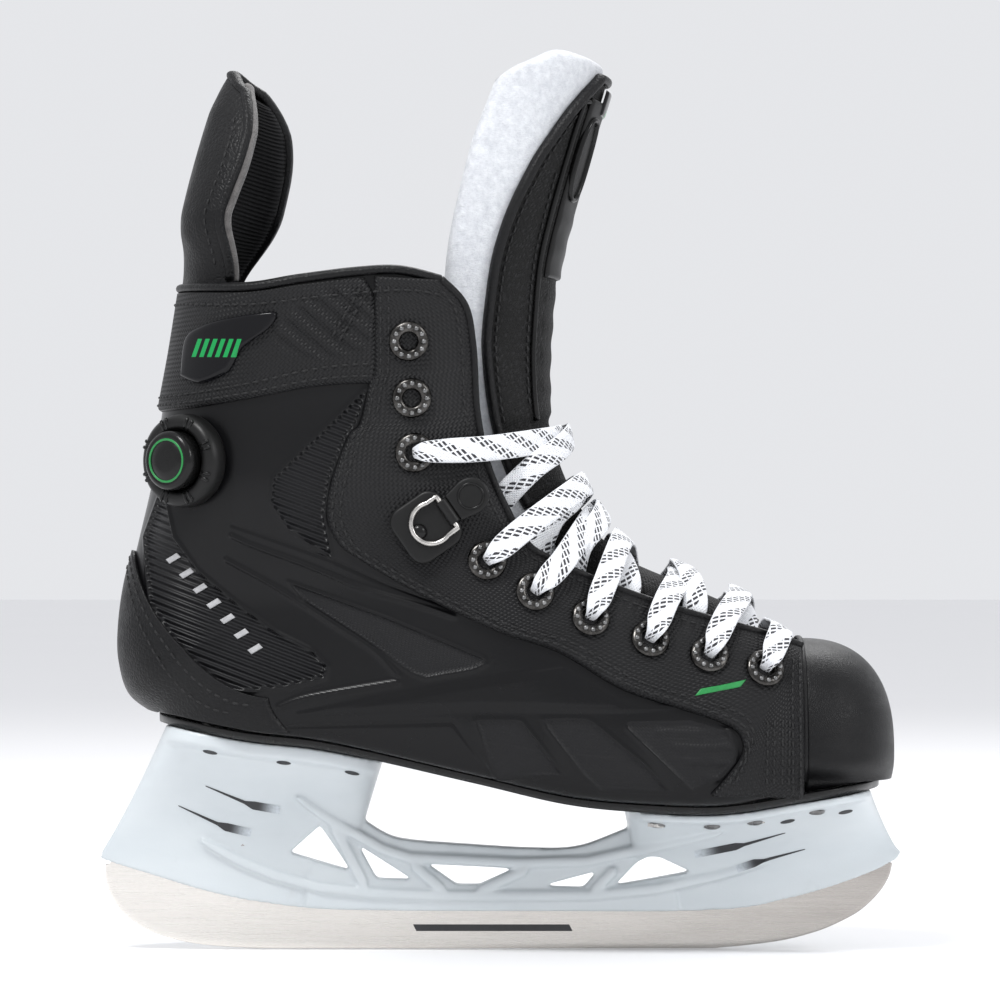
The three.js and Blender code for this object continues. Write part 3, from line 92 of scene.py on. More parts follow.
def make_stage():
    world = bpy.data.worlds.new("studio")
    bpy.context.scene.world = world
    world.use_nodes = True
    background = world.node_tree.nodes["Background"]
    background.inputs["Color"].default_value = (0.96, 0.97, 1.0, 1)
    background.inputs["Strength"].default_value = 0.82
    bpy.context.scene.view_settings.view_transform = "Standard"
    area_light("key", (-0.5, -0.8, 1.5), (0, 0, 0.15), 0.4, 19)
    area_light("fill", (1.3, -0.9, 0.9), (0, 0, 0.15), 0.5, 7)
    area_light("rim", (0.3, 1.2, 1.3), (0, 0, 0.2), 0.8, 9)
    bpy.ops.mesh.primitive_plane_add(size=14, location=(0, 0, -0.0004))
    floor = bpy.context.object
    floor.name = "floor"
    floor.data.materials.append(floor_material())


# ---------------------------------------------------------------- node helpers
class Shader:
    """A material's node tree with short calls for the nodes used here."""

    def __init__(self, name, color, roughness, metallic=0.0, **sockets):
        self.material = bpy.data.materials.new(name)
        self.material.use_nodes = True
        self.tree = self.material.node_tree
        self.bsdf = self.tree.nodes["Principled BSDF"]
        self.bsdf.inputs["Base Color"].default_value = (*color, 1)
        self.bsdf.inputs["Roughness"].default_value = roughness
        self.bsdf.inputs["Metallic"].default_value = metallic
        for socket, value in sockets.items():
            self.bsdf.inputs[socket.replace("_", " ")].default_value = value

    def node(self, kind, **settings):
        n = self.tree.nodes.new(kind)
        for key, value in settings.items():
            setattr(n, key, value)
        return n

    def link(self, a, b):
        self.tree.links.new(a, b)

    def put(self, value, socket):
        if hasattr(value, "is_linked"):
            self.link(value, socket)
        else:
            socket.default_value = value

    def math(self, operation, a, b=0.0, c=None):
        n = self.node("ShaderNodeMath", operation=operation)
        self.put(a, n.inputs[0])
        self.put(b, n.inputs[1])
        if c is not None:
            self.put(c, n.inputs[2])
        return n.outputs[0]

    def object_coords(self):
        return self.node("ShaderNodeTexCoord").outputs["Object"]

    def uv(self):
        return self.node("ShaderNodeTexCoord").outputs["UV"]

    def split(self, vector):
        n = self.node("ShaderNodeSeparateXYZ")
        self.link(vector, n.inputs[0])
        return n.outputs

    def scaled(self, vector, factors):
        n = self.node("ShaderNodeMapping")
        self.link(vector, n.inputs["Vector"])
        n.inputs["Scale"].default_value = factors
        return n.outputs[0]

    def noise(self, vector, scale, detail=3.0, rough=0.55):
        n = self.node("ShaderNodeTexNoise")
        self.link(vector, n.inputs["Vector"])
        n.inputs["Scale"].default_value = scale
        n.inputs["Detail"].default_value = detail
        n.inputs["Roughness"].default_value = rough
        return n.outputs["Fac"]

    def cells(self, vector, scale, feature="F1"):
        n = self.node("ShaderNodeTexVoronoi", feature=feature)
        self.link(vector, n.inputs["Vector"])
        n.inputs["Scale"].default_value = scale
        return n.outputs["Distance"]

    def ramp(self, value, low, high, to_low=0.0, to_high=1.0):
        n = self.node("ShaderNodeMapRange", clamp=True)
        self.link(value, n.inputs["Value"])
        n.inputs["From Min"].default_value = low
        n.inputs["From Max"].default_value = high
        n.inputs["To Min"].default_value = to_low
        n.inputs["To Max"].default_value = to_high
        return n.outputs[0]

    def blend(self, factor, a, b):
        n = self.node("ShaderNodeMix", data_type="RGBA")
        self.put(factor, n.inputs["Factor"])
        for value, socket in ((a, n.inputs[6]), (b, n.inputs[7])):
            self.put((*value, 1) if isinstance(value, tuple) else value, socket)
        return n.outputs[2]

    def mask(self, name):
        n = self.node("ShaderNodeAttribute", attribute_name=name)
        return n.outputs["Fac"]

    def color(self, socket):
        self.link(socket, self.bsdf.inputs["Base Color"])

    def roughness(self, socket):
        self.link(socket, self.bsdf.inputs["Roughness"])

    def bump(self, height, strength, distance, before=None):
        n = self.node("ShaderNodeBump")
        n.inputs["Strength"].default_value = strength
        n.inputs["Distance"].default_value = distance
        self.link(height, n.inputs["Height"])
        if before is not None:
            self.link(before, n.inputs["Normal"])
        self.link(n.outputs[0], self.bsdf.inputs["Normal"])
        return n.outputs[0]

    def weave(self, uv, pitch, turn=0.0):
        """Height of a plain weave: threads over and under, pitch in millimetres."""
        n = self.node("ShaderNodeMapping")
        self.link(uv, n.inputs["Vector"])
        n.inputs["Scale"].default_value = (math.pi / pitch,) * 3
        n.inputs["Rotation"].default_value = (0, 0, turn)
        x, y, _ = self.split(n.outputs[0])
        sx = self.math("SINE", x)
        sy = self.math("SINE", y)
        over = self.math("GREATER_THAN", self.math("MULTIPLY", sx, sy), 0.0)
        ax = self.math("ABSOLUTE", sx)
        ay = self.math("ABSOLUTE", sy)
        first = self.math("MULTIPLY", ax, over)
        second = self.math("MULTIPLY", ay, self.math("SUBTRACT", 1.0, over))
        return self.math("ADD", first, second)


# ---------------------------------------------------------------- materials
def floor_material():
    s = Shader("studio_floor", (0.9, 0.9, 0.91), 0.55)
    s.roughness(s.ramp(s.noise(s.object_coords(), 3), 0.3, 0.7, 0.5, 0.62))
    return s.material


def moulded_shell():
    """Satin black shell; the masked panels are finely textured and duller."""
    s = Shader("moulded_shell", (0.004, 0.004, 0.0045), 0.3, Specular_IOR_Level=0.22)
    uv = s.uv()
    detail = s.mask("panel")
    fine = s.weave(uv, 0.9, 0.785)
    grain = s.noise(s.object_coords(), 900, 2)
    height = s.math("ADD", s.math("MULTIPLY", fine, detail), s.math("MULTIPLY", grain, 0.25))
    before = s.bump(height, 0.55, 0.00018)
    # Slanted ribs fill the ankle and heel panels.
    x, _, z = s.split(s.object_coords())
    slant = s.math("ADD", s.math("MULTIPLY", x, 0.35), s.math("MULTIPLY", z, 0.94))
    rib = s.math("SINE", s.math("MULTIPLY", slant, 2 * math.pi / 0.0024))
    ribs = s.mask("ribs")
    s.bump(s.math("MULTIPLY", rib, ribs), 0.9, 0.0006, before)
    cloud = s.noise(s.object_coords(), 18, 4)
    tone = s.math("MULTIPLY", s.math("MAXIMUM", detail, ribs), 0.8)
    s.color(s.blend(tone, (0.0035, 0.0035, 0.004), (0.010, 0.010, 0.011)))
    rough = s.math("ADD", s.ramp(cloud, 0.3, 0.7, 0.24, 0.34), s.math("MULTIPLY", detail, 0.18))
    s.roughness(rough)
    return s.material


def carbon_overlay():
    """Fine woven synthetic with a soft sheen, used on facings and collar."""
    s = Shader("woven_overlay", (0.008, 0.008, 0.0085), 0.6, Specular_IOR_Level=0.22)
    uv = s.uv()
    threads = s.weave(uv, 1.15, 0.785)
    fuzz = s.noise(s.object_coords(), 700, 3)
    s.bump(s.math("ADD", threads, s.math("MULTIPLY", fuzz, 0.35)), 0.8, 0.00032)
    worn = s.noise(s.object_coords(), 22, 4)
    tone = s.math("ADD", s.math("MULTIPLY", threads, 0.35), s.ramp(worn, 0.3, 0.75, 0.0, 0.4))
    s.color(s.blend(tone, (0.004, 0.004, 0.0045), (0.016, 0.016, 0.017)))
    s.roughness(s.ramp(threads, 0.0, 1.0, 0.6, 0.42))
    return s.material


def mesh_fabric():
    """Open sports mesh on the tongue's wings."""
    s = Shader("tongue_mesh", (0.006, 0.006, 0.0065), 0.7, Sheen_Weight=0.04, Specular_IOR_Level=0.25)
    uv = s.uv()
    holes = s.cells(s.scaled(uv, (1, 1, 1)), 0.62)
    threads = s.weave(uv, 0.8, 0.4)
    height = s.math("ADD", s.ramp(holes, 0.15, 0.5, 0.0, 1.0), s.math("MULTIPLY", threads, 0.4))
    s.bump(height, 0.9, 0.0004)
    s.color(s.blend(s.ramp(holes, 0.1, 0.45), (0.012, 0.012, 0.013), (0.003, 0.003, 0.003)))
    return s.material


def leather_look():
    s = Shader("moulded_leather_look", (0.005, 0.005, 0.0055), 0.38, Specular_IOR_Level=0.22)
    grain = s.cells(s.object_coords(), 620, "DISTANCE_TO_EDGE")
    soft = s.noise(s.object_coords(), 160, 4)
    height = s.math("ADD", s.ramp(grain, 0.0, 0.25), s.math("MULTIPLY", soft, 0.7))
    s.bump(height, 0.45, 0.00022)
    s.roughness(s.ramp(soft, 0.3, 0.7, 0.34, 0.5))
    return s.material


def felt(name, light, dark):
    """Thick pressed felt: fibres in many directions, slightly mottled."""
    s = Shader(name, light, 0.95, Sheen_Weight=0.35, Sheen_Roughness=0.6)
    co = s.object_coords()
    fibres = s.noise(s.scaled(co, (1, 1, 2.2)), 950, 6, 0.75)
    lumps = s.noise(co, 120, 4)
    pills = s.noise(co, 380, 2)
    soft = s.math("ADD", lumps, s.math("MULTIPLY", pills, 0.6))
    height = s.math("ADD", s.math("MULTIPLY", fibres, 0.7), soft)
    s.bump(height, 0.9, 0.0008)
    tone = s.math("ADD", s.math("MULTIPLY", fibres, 0.5), s.math("MULTIPLY", pills, 0.5))
    s.color(s.blend(s.ramp(tone, 0.33, 0.62), dark, light))
    return s.material


def lining():
    s = Shader("brushed_lining", (0.03, 0.03, 0.032), 0.9, Sheen_Weight=0.15, Specular_IOR_Level=0.2)
    nap = s.noise(s.scaled(s.object_coords(), (1, 1, 2)), 520, 5, 0.7)
    s.bump(nap, 0.8, 0.0005)
    s.color(s.blend(s.ramp(nap, 0.35, 0.65), (0.006, 0.006, 0.0065), (0.022, 0.022, 0.024)))
    return s.material


def rubber(name="satin_rubber", level=0.005, rough=0.42):
    s = Shader(name, (level, level, level), rough, Specular_IOR_Level=0.28)
    grain = s.noise(s.object_coords(), 1100, 3)
    smear = s.noise(s.object_coords(), 60, 3)
    s.bump(grain, 0.25, 0.00015)
    s.roughness(s.ramp(smear, 0.3, 0.7, rough - 0.07, rough + 0.1))
    return s.material


def cap_plastic():
    s = Shader("toe_cap_plastic", (0.004, 0.004, 0.0045), 0.42, Specular_IOR_Level=0.22)
    co = s.object_coords()
    grain = s.cells(co, 1300, "DISTANCE_TO_EDGE")
    waves = s.noise(co, 320, 3)
    s.bump(s.math("ADD", s.ramp(grain, 0.0, 0.3), waves), 0.42, 0.00014)
    scuffs = s.noise(s.scaled(co, (1, 1, 3)), 40, 5, 0.7)
    s.roughness(s.ramp(scuffs, 0.35, 0.75, 0.36, 0.52))
    s.color(s.blend(s.ramp(scuffs, 0.5, 0.8), (0.0035, 0.0035, 0.004), (0.008, 0.008, 0.0085)))
    return s.material


def holder_plastic():
    """White moulded nylon with a cool tint and faint flow marks."""
    s = Shader("holder_nylon", (0.62, 0.67, 0.71), 0.34, Coat_Weight=0.15, Coat_Roughness=0.2)
    co = s.object_coords()
    flow = s.noise(s.scaled(co, (0.6, 1, 1.6)), 26, 4)
    skin = s.noise(co, 1400, 2)
    dirt = s.noise(co, 75, 5, 0.7)
    s.bump(s.math("ADD", skin, s.math("MULTIPLY", flow, 0.6)), 0.12, 0.0002)
    clean = s.blend(s.ramp(flow, 0.3, 0.7), (0.54, 0.585, 0.61), (0.6, 0.64, 0.66))
    s.color(s.blend(s.ramp(dirt, 0.62, 0.85, 0.0, 0.35), clean, (0.44, 0.46, 0.46)))
    s.roughness(s.ramp(dirt, 0.3, 0.7, 0.28, 0.42))
    return s.material


def runner_steel():
    """Bright steel, ground along its length; fine lines in roughness and bump."""
    s = Shader("ground_steel", (0.5, 0.47, 0.44), 0.25, 1.0, Anisotropic=0.4)
    co = s.object_coords()
    lines = s.noise(s.scaled(co, (0.02, 1, 1)), 2600, 4, 0.7)
    long = s.noise(s.scaled(co, (0.15, 1, 1)), 60, 3)
    s.bump(lines, 0.18, 0.00006)
    s.roughness(s.ramp(lines, 0.3, 0.7, 0.17, 0.34))
    # Painted reflection: the blade's flat colour grades from darker at the toe to brighter towards the heel,
    # with lengthwise noise mixed in, standing in for light reflected along it.
    x, _, _ = s.split(co)
    fade = s.math("ADD", s.ramp(x, -0.12, 0.12, 0.7, 0.0), s.math("MULTIPLY", long, 0.45))
    s.color(s.blend(s.ramp(fade, 0.05, 0.9), (0.34, 0.315, 0.295), (0.78, 0.75, 0.71)))
    return s.material


def metal(name, dark, light, rough):
    s = Shader(name, light, rough, 1.0)
    co = s.object_coords()
    wear = s.noise(co, 260, 5, 0.7)
    pits = s.noise(co, 1500, 2)
    s.bump(pits, 0.2, 0.0001)
    s.color(s.blend(s.ramp(wear, 0.35, 0.7), dark, light))
    s.roughness(s.ramp(wear, 0.3, 0.7, rough - 0.08, rough + 0.14))
    return s.material


def lace_weave():
    """White flat braid with rows of small dark dashes along it."""
    s = Shader("lace_braid", (0.86, 0.87, 0.9), 0.85, Sheen_Weight=0.25)
    u, v, _ = s.split(s.uv())
    # u runs along the lace and v across it, both in millimetres.
    slant_a = s.math("SINE", s.math("MULTIPLY", s.math("ADD", u, s.math("MULTIPLY", v, 1.1)), 2.6))
    slant_b = s.math("SINE", s.math("MULTIPLY", s.math("SUBTRACT", u, s.math("MULTIPLY", v, 1.1)), 2.6))
    braid = s.math("MAXIMUM", s.math("ABSOLUTE", slant_a), s.math("ABSOLUTE", slant_b))
    fuzz = s.noise(s.object_coords(), 900, 3)
    s.bump(s.math("ADD", braid, s.math("MULTIPLY", fuzz, 0.5)), 0.8, 0.00035)
    # Dashes: short diagonal bars, in groups that repeat every 26 mm.
    row = s.math("FRACT", s.math("MULTIPLY", s.math("ADD", u, s.math("MULTIPLY", v, 0.8)), 1 / 2.1))
    bar = s.math("LESS_THAN", row, 0.56)
    across = s.math("FRACT", s.math("MULTIPLY", s.math("SUBTRACT", v, s.math("MULTIPLY", u, 0.3)), 1 / 2.7))
    short = s.math("LESS_THAN", across, 0.78)
    group = s.math("FRACT", s.math("MULTIPLY", s.math("ADD", u, s.math("MULTIPLY", v, 1.9)), 1 / 15.0))
    grouped = s.math("LESS_THAN", group, 0.46)
    inner = s.math("LESS_THAN", s.math("ABSOLUTE", v), 4.3)
    dash = s.math("MULTIPLY", s.math("MULTIPLY", bar, short), s.math("MULTIPLY", grouped, inner))
    white = s.blend(s.ramp(fuzz, 0.3, 0.7), (0.74, 0.76, 0.8), (0.88, 0.89, 0.91))
    s.color(s.blend(dash, white, (0.025, 0.025, 0.03)))
    return s.material


def gloss_badge(first=-7.0, count=6, pitch=2.6):
    """Gloss black with a row of slanted green bars, given in UV millimetres."""
    s = Shader("gloss_badge", (0.005, 0.005, 0.006), 0.16, Specular_IOR_Level=0.2)
    u, v, _ = s.split(s.uv())
    lean = s.math("SUBTRACT", s.math("SUBTRACT", u, s.math("MULTIPLY", v, 0.35)), first)
    cell = s.math("DIVIDE", lean, pitch)
    inside = s.math("MULTIPLY", s.math("GREATER_THAN", cell, 0.0), s.math("LESS_THAN", cell, float(count)))
    bar = s.math("LESS_THAN", s.math("FRACT", cell), 0.55)
    tall = s.math("LESS_THAN", s.math("ABSOLUTE", v), 3.2)
    green = s.math("MULTIPLY", s.math("MULTIPLY", inside, bar), tall)
    s.color(s.blend(green, (0.005, 0.005, 0.006), (0.012, 0.27, 0.07)))
    flow = s.noise(s.object_coords(), 90, 2)
    s.roughness(s.ramp(flow, 0.3, 0.7, 0.1, 0.2))
    return s.material


def paint(name, color, rough=0.4):
    s = Shader(name, color, rough)
    grain = s.noise(s.object_coords(), 600, 3)
    darker = tuple(c * 0.8 for c in color)
    s.color(s.blend(s.ramp(grain, 0.35, 0.7), darker, color))
    s.bump(grain, 0.2, 0.0001)
    return s.material


def printed_fade():
    """Dark print that fades into the holder's own colour towards its masked end."""
    s = Shader("printed_slash", (0.02, 0.021, 0.024), 0.4)
    grain = s.noise(s.object_coords(), 900, 2)
    fade = s.math("MULTIPLY", s.mask("fade"), s.ramp(grain, 0.2, 0.6, 0.7, 1.0))
    s.color(s.blend(fade, (0.02, 0.021, 0.024), (0.55, 0.6, 0.64)))
    return s.material


def ribbed_fabric():
    """Black knitted fabric with fine ribs that run across the guard."""
    s = Shader("ribbed_fabric", (0.008, 0.008, 0.009), 0.8, Sheen_Weight=0.05, Specular_IOR_Level=0.25)
    _, v, _ = s.split(s.uv())
    ribs = s.math("ABSOLUTE", s.math("SINE", s.math("MULTIPLY", v, math.pi / 1.5)))
    fuzz = s.noise(s.object_coords(), 800, 3)
    s.bump(s.math("ADD", ribs, s.math("MULTIPLY", fuzz, 0.4)), 0.9, 0.0005)
    s.color(s.blend(s.math("MULTIPLY", ribs, 0.8), (0.003, 0.003, 0.0035), (0.014, 0.014, 0.015)))
    return s.material


def thread():
    s = Shader("stitch_thread", (0.01, 0.01, 0.01), 0.55, Sheen_Weight=0.03, Specular_IOR_Level=0.3)
    twist = s.noise(s.object_coords(), 2500, 2)
    s.bump(twist, 0.5, 0.0001)
    s.color(s.blend(s.ramp(twist, 0.3, 0.7), (0.004, 0.004, 0.004), (0.018, 0.018, 0.019)))
    return s.material


M = {
    "shell": moulded_shell(),
    "overlay": carbon_overlay(),
    "mesh": mesh_fabric(),
    "leather": leather_look(),
    "white_felt": felt("white_felt", (0.74, 0.76, 0.79), (0.54, 0.56, 0.6)),
    "grey_felt": felt("grey_felt", (0.12, 0.112, 0.108), (0.05, 0.046, 0.045)),
    "lining": lining(),
    "rubber": rubber(),
    "gloss_rubber": rubber("gloss_rubber", 0.004, 0.22),
    "cap": cap_plastic(),
    "sole": rubber("outsole_composite", 0.004, 0.25),
    "holder": holder_plastic(),
    "steel": runner_steel(),
    "gunmetal": metal("eyelet_gunmetal", (0.02, 0.019, 0.018), (0.11, 0.105, 0.1), 0.22),
    "nickel": metal("nickel", (0.35, 0.34, 0.33), (0.62, 0.6, 0.57), 0.24),
    "lace": lace_weave(),
    "badge": gloss_badge(),
    "green": paint("green_accent", (0.01, 0.23, 0.05)),
    # This dark paint is both the runner's printed stripe and the painted shade in the holder's recesses.
    "stripe_and_painted_shade": paint("dark_stripe_and_painted_shade", (0.02, 0.021, 0.024)),
    "print": printed_fade(),
    "ribbed": ribbed_fabric(),
    "silver": paint("silver_mark", (0.42, 0.42, 0.43), 0.3),
    "thread": thread(),
    "bladder": paint("air_cell_film", (0.06, 0.065, 0.07), 0.5),
    "nickel_dark": metal("dark_nickel", (0.12, 0.12, 0.12), (0.3, 0.3, 0.3), 0.3),
}
M["tongue"] = M["mesh"]

# ---------------------------------------------------------------- curves in the side view


class Line:
    """A line through side-view points, smooth or straight, read by its share of length."""

    def __init__(self, points, smooth=True, per=24):
        p = np.array(points, float)
        if smooth:
            rows = []
            last = len(p) - 1
            for i in range(last):
                p0, p1, p2, p3 = p[max(i - 1, 0)], p[i], p[i + 1], p[min(i + 2, last)]
                t = np.linspace(0, 1, per, endpoint=False)[:, None]
                v0, v1 = (p2 - p0) / 2, (p3 - p1) / 2
                rows.append(
                    (2 * p1 - 2 * p2 + v0 + v1) * t**3
                    + (3 * p2 - 3 * p1 - 2 * v0 - v1) * t**2
                    + v0 * t
                    + p1
                )
            p = np.vstack([*rows, p[-1:]])
        self.points = p
        steps = np.linalg.norm(np.diff(p, axis=0), axis=1)
        self.along = np.concatenate([[0], np.cumsum(steps)])
        self.length = self.along[-1]

    def at(self, share):
        s = np.clip(share, 0, 1) * self.length
        return np.stack([np.interp(s, self.along, self.points[:, k]) for k in range(2)], -1)

    def thinned(self, count):
        return self.at(np.linspace(0, 1, count))


def joined(*lines):
    return Line(np.vstack([line.points for line in lines]), smooth=False)


TOE_JOINT = 107.0
HEEL_FOOT = (-122.0, 85.0)
COLLAR_FRONT = (-21.0, 238.0)
COLLAR_BACK = (-113.5, 236.0)
SOLE_FRONT = (TOE_JOINT, 57.5)
FEATHER_POINTS = [
    HEEL_FOOT, (-90, 79), (-60, 75.3), (-10, 64.3), (23, 56.8), (50, 54), (79, 53.3), SOLE_FRONT,
]
HEEL_BACK = Line([
    HEEL_FOOT, (-131.5, 92), (-135, 103), (-135.4, 114), (-133.6, 129), (-129.5, 146),
    (-124, 170), (-121, 192), (-117, 214), COLLAR_BACK,
])
FEATHER_EDGE = Line(FEATHER_POINTS)
SOLE_LINE = Line([*FEATHER_POINTS, (122, 59.8), (136, 62)])
COLLAR_TOP = Line([COLLAR_BACK, (-89, 235.5), (-70, 238.3), (-50, 240.8), (-35, 241.3), COLLAR_FRONT])
THROAT_EDGE = Line([
    (TOE_JOINT, 107), (95, 111.3), (76, 116.6), (56, 122.6), (36, 130), (17, 139), (8.5, 145),
    (1, 158), (-5.4, 173.4), (-9, 192), (-10.3, 214), (-13, 229), COLLAR_FRONT,
])
FRONT_EDGE = joined(Line([SOLE_FRONT, (TOE_JOINT, 107)], False), THROAT_EDGE)
TONGUE_RIDGE = Line([
    (TOE_JOINT, 109), (98, 115), (88, 121), (68, 130), (46, 139.5), (38, 146), (30, 157),
    (25, 166), (20.5, 178), (18, 192), (17.5, 208), (18.5, 226), (20.3, 244), (24, 260),
    (29.4, 279), (33.4, 293), (37.5, 306), (39.5, 314),
])
GUARD_BACK = Line([(-113.6, 237), (-110.7, 259), (-106.5, 281), (-101.5, 302), (-97, 313)])
FACING_SEAM = Line([
    (-44.1, 239), (-44.1, 207.6), (-46, 201.6), (-49, 187.8), (-53.1, 183.2), (-58.8, 168.4),
    (-60.8, 155.4), (-56.9, 145.6), (-49, 139.6), (-34.1, 130.8), (-19.3, 123.1), (0.4, 114),
    (20.6, 107.3), (42.2, 94.6), (61.9, 87.9), (76.8, 83), (83.7, 78.8), (85.1, 72.1),
    (79.8, 64), (74, 57.5),
])


def smooth(t):
    t = np.clip(t, 0, 1)
    return t * t * (3 - 2 * t)


def dome(t, n):
    return (1 - (1 - np.clip(t, 0, 1)) ** n) ** (1 / n)


def mix(a, b, t):
    return a + (b - a) * t


def distance(points, x, z):
    """Distance from each (x, z) to a polyline."""
    best = np.full(np.shape(x), 1e9)
    for (ax, az), (bx, bz) in zip(points[:-1], points[1:]):
        dx, dz = bx - ax, bz - az
        length = dx * dx + dz * dz
        if length < 1e-12:
            continue
        t = np.clip(((x - ax) * dx + (z - az) * dz) / length, 0, 1)
        best = np.minimum(best, np.hypot(x - ax - dx * t, z - az - dz * t))
    return best


def inside(points, x, z):
    """Signed distance to a closed polygon, positive inside."""
    closed = np.vstack([points, points[:1]])
    within = np.zeros(np.shape(x), bool)
    for (ax, az), (bx, bz) in zip(closed[:-1], closed[1:]):
        crosses = (az > z) != (bz > z)
        slope = (bx - ax) / (bz - az + (1e-12 if bz == az else 0))
        within ^= crosses & (x < ax + (z - az) * slope)
    return np.where(within, 1, -1) * distance(closed, x, z)


BACK_SAMPLES = HEEL_BACK.thinned(110)
RIDGE_SAMPLES = TONGUE_RIDGE.thinned(80)
SOLE_X, SOLE_Z = SOLE_LINE.points[:, 0], SOLE_LINE.points[:, 1]


def sole_z(x):
    return np.interp(x, SOLE_X, SOLE_Z)


def centre_y(x):
    return 6 * smooth((np.asarray(x, float) + 20) / 130)


def half_width(x, z):
    """Half the boot's width at a point of its side view."""
    low = 35.5 + 15 * smooth((x + 100) / 155) - 4.5 * smooth((x - 70) / 37)
    high = 43 + 3 * smooth((z - 185) / 55)
    pocket = 2.5 * np.exp(-(((z - 122) / 20) ** 2)) * smooth((-55 - x) / 45)
    base = mix(low, high, smooth((z - 122) / 50)) - pocket
    up = smooth((z - 118) / 50)
    back = dome(distance(BACK_SAMPLES, x, z) / mix(44, 40, up), 2.2)
    nose = smooth((x - 60) / 47)
    front = dome((distance(RIDGE_SAMPLES, x, z) + 1.5) / mix(60, 39, nose), mix(2.05, 2.5, nose))
    underside = mix(0.88, 1, dome((z - sole_z(x)) / 20, 2))
    return base * back * front * underside


# ---------------------------------------------------------------- the boot's surface
def upper_side(g, v):
    """Side-view point of the quarters: g from heel to front, v from sole to collar."""
    b, t = FEATHER_EDGE.at(g), COLLAR_TOP.at(g)
    k, f = HEEL_BACK.at(v), FRONT_EDGE.at(v)
    g, v = g[..., None], v[..., None]
    c00, c10 = FEATHER_EDGE.points[0], FEATHER_EDGE.points[-1]
    c01, c11 = COLLAR_TOP.points[0], COLLAR_TOP.points[-1]
    return (
        (1 - v) * b + v * t + (1 - g) * k + g * f
        - (1 - g) * (1 - v) * c00 - g * (1 - v) * c10 - (1 - g) * v * c01 - g * v * c11
    )


def upper_point(u, v):
    u, v = np.broadcast_arrays(np.asarray(u, float), np.asarray(v, float))
    share = 1 - (1 - np.clip(np.abs(u), 0, 1) ** 1.7) ** 1.25
    side = upper_side(share, np.clip(v, 0, 1))
    x, z = side[..., 0], side[..., 1]
    y = np.sign(u) * half_width(x, z) + centre_y(x)
    return np.stack([x, y, z], -1)


def unit(v):
    return v / np.maximum(np.linalg.norm(v, axis=-1, keepdims=True), 1e-9)


def upper_normal(u, v):
    e, wide = 0.004, 0.02  # the spine of the heel is rounded, so u steps across it in one go
    u, v = np.broadcast_arrays(np.asarray(u, float), np.asarray(v, float))
    du = upper_point(np.minimum(u + wide, 1), v) - upper_point(np.maximum(u - wide, -1), v)
    dv = upper_point(u, np.minimum(v + e, 1)) - upper_point(u, np.maximum(v - e, 0))
    return unit(np.cross(dv, du))


def upper_at(u, v, offset):
    return upper_point(u, v) + upper_normal(u, v) * np.asarray(offset)[..., None]


def side_at(x, z, s, offset=0.0):
    """A point on the boot's side over a side-view place, and its outward normal."""
    x, z = np.broadcast_arrays(np.asarray(x, float), np.asarray(z, float))

    def at(px, pz):
        return np.stack([px, centre_y(px) + s * half_width(px, pz), pz], -1)

    e = 0.5
    dx = at(x + e, z) - at(x - e, z)
    dz = at(x, z + e) - at(x, z - e)
    n = unit(np.cross(dx, dz))
    n = n * np.where(n[..., 1:2] * s < 0, -1, 1)
    return at(x, z) + n * np.asarray(offset)[..., None], n


# ---------------------------------------------------------------- meshes
def add_object(name, mesh, material, body="boot", smooth_shading=True):
    obj = bpy.data.objects.new(name, mesh)
    bpy.context.collection.objects.link(obj)
    if material is not None:
        mesh.materials.append(material)
    if smooth_shading:
        mesh.polygons.foreach_set("use_smooth", [True] * len(mesh.polygons))
    if body:
        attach(obj, body)
    return obj


def make_mesh(name, points, faces, uvs=None, masks=None):
    """Points in millimetres; uvs one pair per point; masks {name: value per point}."""
    mesh = bpy.data.meshes.new(name)
    mesh.from_pydata((np.asarray(points, float) * MM).tolist(), [], [list(map(int, f)) for f in faces])
    mesh.update()
    if uvs is not None:
        layer = mesh.uv_layers.new(name="map")
        index = np.empty(len(mesh.loops), int)
        mesh.loops.foreach_get("vertex_index", index)
        layer.data.foreach_set("uv", np.asarray(uvs, float)[index].ravel())
    for key, values in (masks or {}).items():
        attribute = mesh.attributes.new(key, "FLOAT", "POINT")
        attribute.data.foreach_set("value", np.asarray(values, float).ravel())
    return mesh


def grid_faces(rows, cols, start=0, flip=False, wrap=False):
    i, j = np.meshgrid(np.arange(rows - 1), np.arange(cols if wrap else cols - 1), indexing="ij")
    k = (j + 1) % cols
    a, b = start + i * cols + j, start + i * cols + k
    c, d = start + (i + 1) * cols + k, start + (i + 1) * cols + j
    order = (a, d, c, b) if flip else (a, b, c, d)
    return np.stack(order, -1).reshape(-1, 4)


def grid_uv(grid):
    """Arc-length coordinates of a grid, in millimetres."""
    du = np.linalg.norm(np.diff(grid, axis=1), axis=-1)
    dv = np.linalg.norm(np.diff(grid, axis=0), axis=-1)
    rows, cols = grid.shape[:2]
    u = np.concatenate([np.zeros((rows, 1)), np.cumsum(du, axis=1)], 1)
    v = np.concatenate([np.zeros((1, cols)), np.cumsum(dv, axis=0)], 0)
    u = u - u[:, cols // 2:cols // 2 + 1]
    return np.stack([u, v], -1)


